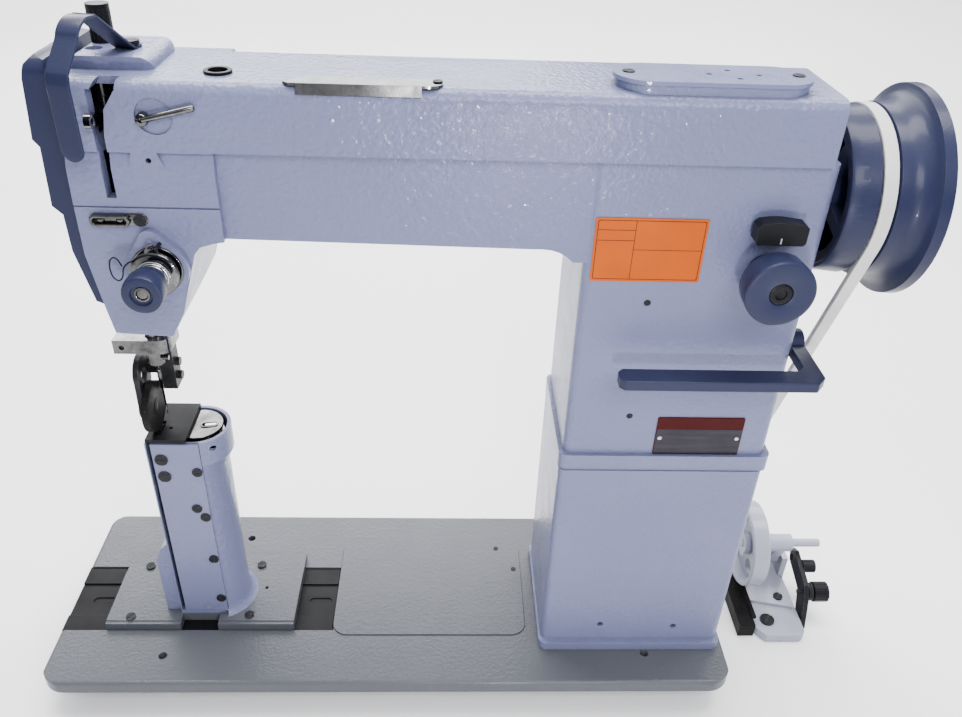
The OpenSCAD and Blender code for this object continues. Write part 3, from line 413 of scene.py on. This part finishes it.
# Bed enamel: the white enamel with the bed's own grey-green tone, made darker as painted shade on the low
# bed.
BED_WHITE_SHADED = (0.074, 0.078, 0.090)
BLUE_GREY = (0.015, 0.018, 0.046)
MATERIALS = {
    "white": enamel("white_enamel", WHITE, 400, 0.0006, 0.36),
    "bed_white_shaded": enamel("bed_enamel_shaded", BED_WHITE_SHADED, 440, 0.0003, 0.42, 0.25),
    "white_smooth": enamel("white_smooth_enamel", WHITE, 900, 0.0001, 0.3),
    "winder_white": enamel("winder_enamel", (0.30, 0.31, 0.38), 900, 0.00006, 0.32),
    "blue": enamel("blue_grey_enamel", BLUE_GREY, 1100, 0.00007, 0.38, 0.1, chips=True, grime_and_hollow_shade=False),
    "chrome": chrome("chrome", 0.15, 0.045),
    "strip_chrome": chrome("strip_chrome", 0.14, 0.05),
    "steel": brushed("ground_steel", (0.56, 0.57, 0.59), (1, 1, 0.06), 0.2, 0.38),
    "turned": brushed("turned_steel", (0.52, 0.53, 0.55), (0.06, 1, 1), 0.22, 0.4),
    "dark": brushed("dark_steel", (0.006, 0.006, 0.007), (0.05, 1, 1), 0.4, 0.55, 0.00006, 0.5, 0.1),
    "aluminium": brushed("plate_aluminium", (0.036, 0.033, 0.040), (0.04, 1, 1), 0.4, 0.52),
    "bronze": brushed("bronze", (0.50, 0.33, 0.14), (0.1, 1, 1), 0.35, 0.5, 0.00003, 0.6),
    "oxide": oxide(),
    "rubber": rubber(),
    "plastic": black_plastic(),
    "belt": belt_cloth(),
    "orange": film("orange_film", (0.42, 0.070, 0.0002)),
    "red": film("red_film", (0.038, 0.0008, 0.001)),
    "ink": film("black_ink", (0.03, 0.012, 0.01)),
}

# ---------- mesh tools ----------

BED_LOW, BED_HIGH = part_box("bed_plate")
BODIES = frame["record"]["behaviour"]["bodies"]
NODE_BODY = {node: body for body, nodes in BODIES.items() for node in nodes}


def bed(x, y, z):
    """A point given in millimetres from the bed's left edge, its mid depth and its top face."""
    return Vector((BED_LOW.x + x * MM, y * MM, BED_HIGH.z + z * MM))


def facing(place, axis, spin=0.0):
    """Matrix that puts local +Z along axis, with its origin at place."""
    turn = Vector(axis).to_track_quat("Z", "Y").to_matrix().to_4x4()
    return Matrix.Translation(place) @ turn @ Matrix.Rotation(spin, 4, "Z")


SHARP_ANGLE = math.radians(35)


def finish_mesh(name, builder):
    """Turns the bmesh into a smooth-shaded mesh whose sharper edges stay crisp."""
    bmesh.ops.remove_doubles(builder, verts=builder.verts, dist=1e-7)
    bmesh.ops.recalc_face_normals(builder, faces=builder.faces)
    mesh = bpy.data.meshes.new(name)
    builder.to_mesh(mesh)
    builder.free()
    mesh.polygons.foreach_set("use_smooth", [True] * len(mesh.polygons))
    mesh.set_sharp_from_angle(angle=SHARP_ANGLE)
    return mesh


def add_piece(name, mesh, finish, node, replace=True):
    """Adds a piece with the given finish that goes with a CAD node's body, and may stand for the node."""
    piece = bpy.data.objects.new(name, mesh)
    bpy.context.scene.collection.objects.link(piece)
    mesh.materials.append(MATERIALS[finish])
    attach(piece, NODE_BODY[node])
    if replace:
        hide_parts(node)
    return piece


def rounded(points, radius, steps=4, closed=True):
    """The outline with each corner replaced by a curve that starts radius away from it, or less."""
    result = []
    count = len(points)
    for i, (x, y) in enumerate(points):
        if not closed and i in (0, count - 1):
            result.append((x, y))
            continue
        here = Vector((x, y))
        before = Vector(points[i - 1]) - here
        after = Vector(points[(i + 1) % count]) - here
        start = here + before.normalized() * min(radius, before.length * 0.45)
        end = here + after.normalized() * min(radius, after.length * 0.45)
        for k in range(steps + 1):
            t = k / steps
            p = start * (1 - t) ** 2 + here * 2 * t * (1 - t) + end * t ** 2
            result.append((p.x, p.y))
    return result


def arc_points(centre, radius, start, end, steps):
    """Points of an arc, both ends included."""
    return [(centre[0] + radius * math.cos(a), centre[1] + radius * math.sin(a))
            for a in (start + (end - start) * k / steps for k in range(steps + 1))]


def circle(radius, steps, cx=0.0, cy=0.0):
    return [(cx + radius * math.cos(TAU * i / steps), cy + radius * math.sin(TAU * i / steps))
            for i in range(steps)]


def stadium(x0, x1, y0, y1, steps=10):
    """Outline of a slot with round ends."""
    r = (y1 - y0) / 2
    cy = (y0 + y1) / 2
    right = [(x1 - r + r * math.cos(a), cy + r * math.sin(a))
             for a in (math.pi * (k / steps - 0.5) for k in range(steps + 1))]
    left = [(x0 + r - r * math.cos(a), cy - r * math.sin(a))
            for a in (math.pi * (k / steps - 0.5) for k in range(steps + 1))]
    return right + left


def turned(name, profile, place, axis, steps=96, closed=True):
    """A turned piece: profile is (radius, height) in millimetres about the axis."""
    builder = bmesh.new()
    matrix = facing(place, axis)
    rings = []
    for i in range(steps):
        angle = TAU * i / steps
        ring = []
        for radius, height in profile:
            point = Vector((radius * math.cos(angle), radius * math.sin(angle), height)) * MM
            ring.append(builder.verts.new(matrix @ point))
        rings.append(ring)
    last = len(profile) if closed else len(profile) - 1
    for i in range(steps):
        a, b = rings[i], rings[(i + 1) % steps]
        for j in range(last):
            k = (j + 1) % len(profile)
            builder.faces.new((a[j], b[j], b[k], a[k]))
    bmesh.ops.dissolve_degenerate(builder, edges=builder.edges, dist=1e-8)
    return finish_mesh(name, builder)


def swept(name, path, section, side=None, closed=False, size=None, matrix=Matrix.Identity(4)):
    """Sweeps a closed section, in millimetres, along a path of points in metres.

    Section points are (along side, along normal). The normal turns with the path. A size function gives
    the two scales of the section at each share of the path. U runs along the path in metres, V round it.
    """
    builder = bmesh.new()
    count = len(path)
    lengths = [0.0]
    for a, b in zip(path, path[1:]):
        lengths.append(lengths[-1] + (b - a).length)
    around = [0.0]
    ring = section + section[:1]
    for a, b in zip(ring, ring[1:]):
        around.append(around[-1] + math.dist(a, b) * MM)
    across, rings = None, []
    for i, point in enumerate(path):
        back = path[(i - 1) % count] if closed or i > 0 else point
        on = path[(i + 1) % count] if closed or i < count - 1 else point
        tangent = (on - back).normalized()
        if side is not None:
            across = Vector(side)
        elif across is None:
            across = tangent.orthogonal().normalized()
        across = (across - tangent * across.dot(tangent)).normalized()
        normal = across.cross(tangent)
        sx, sy = size(lengths[i] / lengths[-1]) if size else (1, 1)
        rings.append([builder.verts.new(matrix @ (point + (across * (x * sx) + normal * (y * sy)) * MM))
                      for x, y in section])
    uv = builder.loops.layers.uv.new("UVMap")
    for i in range(count if closed else count - 1):
        a, b = rings[i], rings[(i + 1) % count]
        start = lengths[i]
        end = lengths[i + 1] if i + 1 < count else start + (path[0] - path[-1]).length
        for j in range(len(section)):
            k = (j + 1) % len(section)
            face = builder.faces.new((a[j], b[j], b[k], a[k]))
            marks = ((start, around[j]), (end, around[j]), (end, around[j + 1]), (start, around[j + 1]))
            for loop, mark in zip(face.loops, marks):
                loop[uv].uv = mark
    if not closed:
        builder.faces.new(rings[0])
        builder.faces.new(list(reversed(rings[-1])))
    return finish_mesh(name, builder)


def wire(name, path, radius, sides):
    """A round wire along the path."""
    return swept(name, path, circle(radius, sides))


def smooth_path(points, per_span=8):
    """Catmull-Rom curve through the points."""
    ends = [points[0] * 2 - points[1], *points, points[-1] * 2 - points[-2]]
    result = []
    for p0, p1, p2, p3 in zip(ends, ends[1:], ends[2:], ends[3:]):
        for k in range(per_span):
            t = k / per_span
            result.append(0.5 * (2 * p1 + (p2 - p0) * t + (2 * p0 - 5 * p1 + 4 * p2 - p3) * t ** 2
                                 + (3 * p1 - p0 - 3 * p2 + p3) * t ** 3))
    return result + [points[-1]]


def resampled(path, step):
    """The path with points a fixed step apart."""
    result = [path[0]]
    rest = step
    for a, b in zip(path, path[1:]):
        length = (b - a).length
        while rest <= length:
            result.append(a.lerp(b, rest / length))
            rest += step
        rest -= length
    if (result[-1] - path[-1]).length > step * 0.2:
        result.append(path[-1])
    return result


def cut_plate(name, outlines, matrix, thickness, edge):
    """A flat plate with holes and rounded edges. Outlines are in millimetres, and it is thick along +Z."""
    curve = bpy.data.curves.new(name, "CURVE")
    curve.dimensions = "2D"
    curve.fill_mode = "BOTH"
    curve.extrude = (thickness / 2 - edge) * MM
    curve.bevel_depth = edge * MM
    curve.bevel_resolution = 3
    curve.offset = -edge * MM
    for outline in outlines:
        spline = curve.splines.new("POLY")
        spline.points.add(len(outline) - 1)
        spline.use_cyclic_u = True
        for point, (x, y) in zip(spline.points, outline):
            point.co = (x * MM, y * MM, 0, 1)
    holder = bpy.data.objects.new(name, curve)
    bpy.context.scene.collection.objects.link(holder)
    bpy.context.view_layer.update()
    flat = bpy.data.meshes.new_from_object(holder.evaluated_get(bpy.context.evaluated_depsgraph_get()))
    bpy.data.objects.remove(holder)
    builder = bmesh.new()
    builder.from_mesh(flat)
    lift = matrix @ Matrix.Translation((0, 0, thickness / 2 * MM))
    bmesh.ops.transform(builder, matrix=lift, verts=builder.verts)
    bpy.data.meshes.remove(flat)
    return finish_mesh(name, builder)


OPERATOR = (0, -1, 0)


def front_view(x, y, z):
    """Matrix of a plate in the X-Z plane, which grows towards the operator from the point (x, y, z)."""
    turn = Matrix(((1, 0, 0), (0, 0, -1), (0, 1, 0))).to_4x4()
    return Matrix.Translation(bed(x, y, z)) @ turn


# ---------- detailed pieces ----------

SHAFT = (-14.1, 365.4)
BELT_X = 536
BELT_WHEEL, BELT_LOW, BELT_LOW_AT = 50.3, 30.0, (118.6, -3.6)
BELT_SECTION = rounded([(-4.1, 0), (4.1, 0), (2.4, -6.3), (-2.4, -6.3)], 0.9)


def drive_belt():
    """V-belt with a woven cotton jacket, round the handwheel's groove and down behind the bed."""
    run = math.dist(SHAFT, BELT_LOW_AT)
    aim = math.atan2(BELT_LOW_AT[1] - SHAFT[1], BELT_LOW_AT[0] - SHAFT[0])
    lean = math.acos((BELT_WHEEL - BELT_LOW) / run)
    line = arc_points(SHAFT, BELT_WHEEL, aim + lean, aim + TAU - lean, 96)
    line += arc_points(BELT_LOW_AT, BELT_LOW, aim - lean, aim + lean, 48)
    path = [bed(BELT_X, y, z) for y, z in line]
    mesh = swept("drive_belt", path, BELT_SECTION, side=(-1, 0, 0), closed=True)
    add_piece("drive_belt", mesh, "belt", "v_belt")


GUARD_SCREW = (124, -9, 435.5)
GUARD_TURN = math.radians(-12.5)
STRAP_HALF, STRAP_THICK = 6.0, 1.6


def take_up_guard():
    """Painted strap that hangs in front of the take-up lever, with a round lower end."""
    line = [(-6, 0), (0, 0), (5, 0)]
    line += arc_points((40, 7), 15, math.radians(120), math.radians(25), 6)
    line += arc_points((51, -6), 16, math.radians(30), 0, 3)
    line += [(67, -20), (67, -32), (67, -42)]
    path = smooth_path([Vector((0, -out, up)) * MM for out, up in line], 6)
    total = sum((b - a).length for a, b in zip(path, path[1:])) / MM

    def width(share):
        rest = min(share, 1 - share) * total
        if rest >= STRAP_HALF:
            return 1, 1
        return max(0.05, math.sqrt(1 - (1 - rest / STRAP_HALF) ** 2)), 1

    fine = resampled(path, 0.7 * MM)
    section = rounded([(-STRAP_HALF, -STRAP_THICK / 2), (STRAP_HALF, -STRAP_THICK / 2),
                       (STRAP_HALF, STRAP_THICK / 2), (-STRAP_HALF, STRAP_THICK / 2)], 0.5)
    matrix = Matrix.Translation(bed(*GUARD_SCREW)) @ Matrix.Rotation(GUARD_TURN, 4, "Z")
    mesh = swept("guard_strap", fine, section, side=(1, 0, 0), size=width, matrix=matrix)
    add_piece("guard_strap", mesh, "blue", "take_up_guard")


def presser_spring():
    """Coil spring on the presser bar."""
    low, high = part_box("presser_spring")
    centre = middle("presser_spring")
    turns, radius, gauge = 7, 5.5, 0.75
    path = []
    for k in range(turns * 24 + 1):
        share = k / (turns * 24)
        eased = share + 0.05 * math.sin(TAU * share) / TAU
        angle = TAU * turns * share
        z = low.z + gauge * MM + (high.z - low.z - 2 * gauge * MM) * eased
        path.append(Vector((centre.x + radius * MM * math.cos(angle),
                            centre.y + radius * MM * math.sin(angle), z)))
    mesh = wire("pressure_coil", path, gauge, 10)
    piece = add_piece("pressure_coil", mesh, "steel", "presser_spring")
    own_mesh(piece)


TENSION_X, TENSION_Z = 134.5, 326


def tension_point(x, y, z):
    """A point given from the axis of the thread tension's stud."""
    return bed(TENSION_X + x, y, TENSION_Z + z)


def tension_unit():
    """Dished discs and rings, a cone-shaped spring and the smooth stepped thumb nut on its stud."""
    for k, (y, flip) in enumerate(((-63.0, 1), (-66.6, -1))):
        disc = rounded([(3.1, -0.6), (7.5, -0.6), (9.5, 0.1), (12.2, 0.5), (13.4, 1.1), (13.2, 1.5),
                        (11.8, 1.1), (9.2, 0.7), (7.2, 0.1), (3.1, 0.1)], 0.5, 3)
        mesh = turned("disc", [(r, h * flip) for r, h in disc], tension_point(0, y, 0), OPERATOR, 72)
        add_piece(f"tension_disc_{k + 1}", mesh, "chrome", "tension_discs")
    ring = rounded([(11.4, 0), (14.2, 0), (14.2, 1.5), (11.4, 1.5)], 0.5, 3)
    mesh = turned("ring", ring, tension_point(0, -58.6, 0), OPERATOR, 72)
    add_piece("tension_seat_ring", mesh, "chrome", "tension_discs", replace=False)
    plate = [(-3.2, 9.5), (3.6, 9.5), (4.4, 13.5), (1.6, 18.6), (-0.6, 18.6), (-3.6, 14)]
    mesh = cut_plate("release", [rounded(plate, 1.4), circle(0.9, 16, 0.6, 16.2)],
                     front_view(TENSION_X, -64.4, TENSION_Z), 0.9, 0.2)
    add_piece("tension_release_plate", mesh, "chrome", "tension_discs", replace=False)
    pin = [(0, 0), (1.1, 0), (1.1, 7), (0.8, 7.6), (0, 7.7)]
    mesh = turned("pin", pin, tension_point(3.4, -58.4, 15.6), OPERATOR, 24, closed=False)
    add_piece("tension_release_pin", mesh, "oxide", "tension_discs", replace=False)
    turns = 2.6
    path = []
    for k in range(81):
        share = k / 80
        radius = 9.3 - 2.6 * share
        angle = TAU * turns * share
        y = -68.3 - 0.9 * share
        path.append(tension_point(radius * math.cos(angle), y, radius * math.sin(angle)))
    mesh = wire("cone", path, 0.45, 10)
    add_piece("tension_cone_spring", mesh, "steel", "tension_discs", replace=False)
    nut = [(3.15, 0), (3.15, 18.8), (4.2, 19.2), (5.6, 19.4), (6.0, 20.1), (6.2, 20.9), (9.4, 21),
           (10.5, 20.6), (11, 19.8), (11, 10.8), (10.7, 10.1), (10.1, 9.8), (9.95, 9.2), (9.95, 6.1),
           (9.5, 5.5), (7.9, 5.3), (7.5, 4.7), (7.4, 0.6), (7.0, 0)]
    mesh = turned("nut", nut, tension_point(0, -69, 0), OPERATOR)
    add_piece("tension_nut", mesh, "blue", "tension_knob")
    bush = rounded([(3.12, 0), (4.4, 0), (4.4, 1.1), (3.12, 1.1)], 0.25, 3)
    mesh = turned("nut_bush", bush, tension_point(0, -87.6, 0), OPERATOR, 48)
    add_piece("tension_nut_bush", mesh, "chrome", "tension_knob", replace=False)


def check_spring():
    """Thread check spring: two turns of wire round the stud and an arm with a long open eye."""
    path = []
    for k in range(65):
        angle = math.radians(90) - TAU * 2 * (1 - k / 64)
        path.append(tension_point(6.6 * math.cos(angle), -59.5 - 1.2 * k / 64, 6.6 * math.sin(angle)))
    eye = [(-8, 6.4), (-14, 5.2), (-18, 1.5), (-19.5, -4), (-22, -6.5), (-24.8, -4.2), (-25.6, 1),
           (-24.6, 6), (-22.4, 7.8), (-20.2, 6.2), (-18.8, 2.6)]
    path += [tension_point(x, -60.8, z) for x, z in eye]
    mesh = wire("check_wire", smooth_path(path, 4), 0.42, 8)
    add_piece("check_spring_wire", mesh, "dark", "check_spring")


def stitch_dial():
    """Smooth blue-grey stitch length dial with a black centre cap."""
    at = bed(481, -50.4, 329)
    profile = [(0, -7), (3.02, -7), (3.02, 0), (9.6, 0), (10, 0.4), (10, 14.6), (10.6, 15.4),
               (17.8, 15.6), (18.9, 16.0), (19.3, 17.0), (20, 29.6), (19.8, 30.7), (19.0, 31.4),
               (18.0, 31.6), (7.4, 31.6), (6.8, 31.3), (6.5, 30.6), (6.5, 29.1), (0, 29.1)]
    mesh = turned("dial", profile, at, OPERATOR, 144, closed=False)
    add_piece("stitch_dial_body", mesh, "blue", "stitch_dial")
    cap = rounded([(0, 0.05), (6.35, 0.05), (6.35, 1.9), (5.4, 2.3), (3.4, 2.3), (3.0, 1.0), (0, 0.8)],
                  0.3, 3, closed=False)
    mesh = turned("cap", cap, bed(481, -79.5, 329), OPERATOR, 64, closed=False)
    add_piece("stitch_dial_cap", mesh, "plastic", "stitch_dial", replace=False)


def push_button_mark():
    """White tick on the front of the black release button."""
    tick = rounded([(480.6, 351.6), (481.4, 351.6), (481.4, 355.0), (480.6, 355.0)], 0.2)
    mesh = cut_plate("tick", [tick], front_view(0, -64.45, 0), 0.12, 0.02)
    add_piece("push_button_tick", mesh, "winder_white", "push_button", replace=False)


def bobbin_latch():
    """Raised oval ring and latch in the chrome cap of the bobbin case."""
    turn = Matrix.Rotation(math.radians(12), 4, "Z")
    centre = bed(130.5, -6.5, 0)
    cap_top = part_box("bobbin_case")[1].z
    place = Matrix.Translation((centre.x, centre.y, cap_top - 0.3 * MM)) @ turn
    ring = [stadium(-6.2, 6.2, -3.2, 3.2), stadium(-5.0, 5.0, -2.0, 2.0)]
    mesh = cut_plate("latch_ring", ring, place, 0.9, 0.25)
    add_piece("bobbin_latch_ring", mesh, "chrome", "bobbin_case", replace=False)
    mesh = cut_plate("latch", [stadium(-3.0, 4.7, -1.2, 1.2)], place, 0.6, 0.15)
    add_piece("bobbin_latch", mesh, "steel", "bobbin_case", replace=False)


def thread_guides():
    """Rod guide on the arm, and the slotted guide plate on the head with its rivets and screw."""
    node = "thread_guides"
    plate = front_view(0, -54.1, 0)
    outer = stadium(101.6, 132.7, 350.5, 357.5)
    add_piece("guide_plate", cut_plate("guide_plate", [outer], plate, 1.2, 0.3), "chrome", node)
    rim = front_view(0, -55.2, 0)
    ring = [stadium(101.8, 123.6, 350.6, 357.4), stadium(103.6, 121.8, 352.3, 355.7)]
    mesh = cut_plate("guide_rim", ring, rim, 2.7, 0.5)
    add_piece("guide_plate_rim", mesh, "chrome", node, replace=False)
    for k, x in enumerate((107.4, 118)):
        dome = [(0, 0), (2.2, 0), (2.2, 0.5), (1.9, 1.1), (1.2, 1.5), (0, 1.7)]
        mesh = turned("rivet", dome, bed(x, -55.1, 354), OPERATOR, 32, closed=False)
        add_piece(f"guide_rivet_{k + 1}", mesh, "chrome", node, replace=False)
    head = [(0, 0), (3.3, 0), (3.4, 0.3), (3.4, 1.3), (3.0, 1.8), (1.5, 2.0), (0, 2.0)]
    mesh = turned("guide_screw", head, bed(128.6, -55.1, 354), OPERATOR, 40, closed=False)
    add_piece("guide_screw", mesh, "oxide", node, replace=False)
    collar = [(0, 0), (3.2, 0), (3.4, 0.3), (3.4, 4.3), (3.0, 5.0), (1.6, 5.4), (1.3, 5.5), (1.2, 3.6),
              (0, 3.4)]
    mesh = turned("rod_collar", collar, bed(139.6, -52.9, 410), OPERATOR, 48, closed=False)
    add_piece("rod_guide_collar", mesh, "chrome", node, replace=False)
    slope = math.radians(14)
    tip = [(0, -1.5), (1.2, -1.5), (1.7, -1.0), (1.7, 26.2), (1.3, 26.8), (0, 26.9)]
    along = (math.cos(slope), 0, math.sin(slope))
    mesh = turned("guide_rod", tip, bed(141, -57, 410.4), along, 32, closed=False)
    add_piece("guide_rod", mesh, "chrome", node, replace=False)


def printed_fields():
    """Plain dividing lines on the orange film, and the red plate's bare metal field and rivets."""
    node = "front_label"
    film_at = front_view(0, -50.57, 0)
    x0, x1, z0, z1, line = 380.6, 442.4, 320.8, 358.0, 0.45
    frame_lines = [rounded([(x0, z0), (x1, z0), (x1, z1), (x0, z1)], 1.4),
                   rounded([(x0 + line, z0 + line), (x1 - line, z0 + line), (x1 - line, z1 - line),
                            (x0 + line, z1 - line)], 1.2)]
    mesh = cut_plate("label_border", frame_lines, film_at, 0.06, 0.01)
    add_piece("label_border", mesh, "ink", node, replace=False)
    bars = [(402.3, 402.7, z0, z1), (x0, 402.5, 351.7, 352.1), (x0, 402.5, 345.3, 345.7),
            (402.5, x1, 339.6, 340.0)]
    for k, (a, b, c, d) in enumerate(bars):
        mesh = cut_plate("label_line", [[(a, c), (b, c), (b, d), (a, d)]], film_at, 0.05, 0.01)
        add_piece(f"label_line_{k + 1}", mesh, "ink", node, replace=False)
    node = "data_plate"
    field = rounded([(435.4, 190.8), (492.1, 190.8), (492.1, 211.2), (435.4, 211.2)], 0.8)
    mesh = cut_plate("plate_field", [field], front_view(0, -50.87, 0), 0.16, 0.03)
    add_piece("plate_field", mesh, "aluminium", node, replace=False)
    for k, x in enumerate((438, 489.5)):
        dome = [(0, 0), (1.5, 0), (1.45, 0.35), (1.0, 0.65), (0, 0.8)]
        mesh = turned("plate_rivet", dome, bed(x, -50.95, 204), OPERATOR, 24, closed=False)
        add_piece(f"plate_rivet_{k + 1}", mesh, "steel", node, replace=False)


for build in (drive_belt, take_up_guard, presser_spring, tension_unit, check_spring, stitch_dial,
              push_button_mark, bobbin_latch, thread_guides, printed_fields):
    build()


# Finish and edge radius in millimetres of each CAD node that shows as it is.
FINISH = {
    "bed_plate": ("bed_white_shaded", 0.7), "bed_panel": ("bed_white_shaded", 0.5), "channel_rail": ("dark", 0.4),
    "post_base": ("bed_white_shaded", 0.7), "post_body": ("white", 0.4), "post_cover": ("white_smooth", 0.3),
    "needle_plate": ("dark", 0.25), "riser_box": ("white", 1.0), "arm_casting": ("white", 0.8),
    "face_cover": ("blue", 0.8), "column_rear_cover": ("white_smooth", 0.8),
    "top_cover": ("white_smooth", 0.5), "black_screws": ("oxide", 0.2), "oil_cap": ("dark", 0.4),
    "top_strip": ("strip_chrome", 0.2),
    "front_label": ("orange", 0.1), "data_plate": ("red", 0.1), "thread_guides": ("chrome", 0.4),
    "take_up_guard": ("blue", 0.3), "tension_post": ("chrome", 0.3), "tension_discs": ("chrome", 0.2),
    "bushings": ("bronze", 0.2), "v_belt": ("belt", 0.3), "timing_belt": ("rubber", 0.2),
    "feed_belt": ("rubber", 0.2), "main_shaft": ("turned", 0.4), "handwheel": ("blue", 0.5),
    "crank_disc": ("turned", 0.5), "upper_pulley": ("dark", 0.2), "needle_link": ("steel", 0.2),
    "needle_bar": ("steel", 0.3), "needle_clamp": ("chrome", 0.4), "needle": ("chrome", 0.0),
    "take_up_lever": ("chrome", 0.4), "presser_bar": ("steel", 0.3), "presser_spring": ("steel", 0.1),
    "presser_bracket": ("chrome", 0.6), "roller_holder": ("oxide", 0.6), "roller_foot": ("rubber", 0.6),
    "pressure_knob": ("plastic", 0.3), "lifter_lever": ("chrome", 0.8), "tension_knob": ("blue", 0.3),
    "check_spring": ("chrome", 0.2), "lower_shaft": ("turned", 0.2), "post_shaft": ("steel", 0.2),
    "rotary_hook": ("steel", 0.2), "bobbin_case": ("chrome", 0.3), "bobbin": ("steel", 0.1),
    "feed_wheel": ("dark", 0.15), "feed_idler": ("dark", 0.15), "feed_shaft": ("turned", 0.2),
    "stitch_dial": ("blue", 0.5), "push_button": ("plastic", 0.6), "reverse_lever": ("blue", 0.9),
    "winder_base": ("winder_white", 0.6), "winder_rest": ("rubber", 0.6),
    "winder_frame": ("winder_white", 0.5), "winder_wheel": ("winder_white", 0.4),
    "winder_bracket": ("oxide", 0.4), "winder_knob": ("plastic", 0.3),
}


BEVEL_ANGLE = math.radians(32)


def smooth_edges(piece, radius):
    """Rounds the sharp edges of a hard piece by modifiers, leaving its mesh as it is."""
    mesh = piece.data
    if "custom_normal" in mesh.attributes:
        mesh.attributes.remove(mesh.attributes["custom_normal"])
    for polygon in mesh.polygons:
        polygon.use_smooth = True
    weld = piece.modifiers.new("weld", "WELD")
    weld.merge_threshold = 2e-6
    if radius > 0:
        flat = piece.modifiers.new("flat", "DECIMATE")
        flat.decimate_type = "DISSOLVE"
        flat.angle_limit = math.radians(0.4)
        bevel = piece.modifiers.new("bevel", "BEVEL")
        bevel.width = radius * MM
        bevel.segments = 3
        bevel.limit_method = "ANGLE"
        bevel.angle_limit = BEVEL_ANGLE
        bevel.use_clamp_overlap = True
        bevel.harden_normals = True
        bevel.miter_outer = "MITER_ARC"


def paint(piece, finish):
    """Gives a CAD node one material."""
    piece.data.materials.clear()
    piece.data.materials.append(MATERIALS[finish])


for node, (finish, radius) in FINISH.items():
    paint(frame["nodes"][node], finish)
    smooth_edges(frame["nodes"][node], radius)

floor_mesh = bpy.data.meshes.new("floor")
FLOOR_HALF = 6
floor_corners = [(x * FLOOR_HALF, y * FLOOR_HALF, 0) for x, y in ((-1, -1), (1, -1), (1, 1), (-1, 1))]
floor_mesh.from_pydata(floor_corners, [], [(0, 1, 2, 3)])
floor = bpy.data.objects.new("floor", floor_mesh)
floor.location.z = -0.0002
bpy.context.scene.collection.objects.link(floor)
floor.data.materials.append(floor_paint())

make_camera()
make_light()
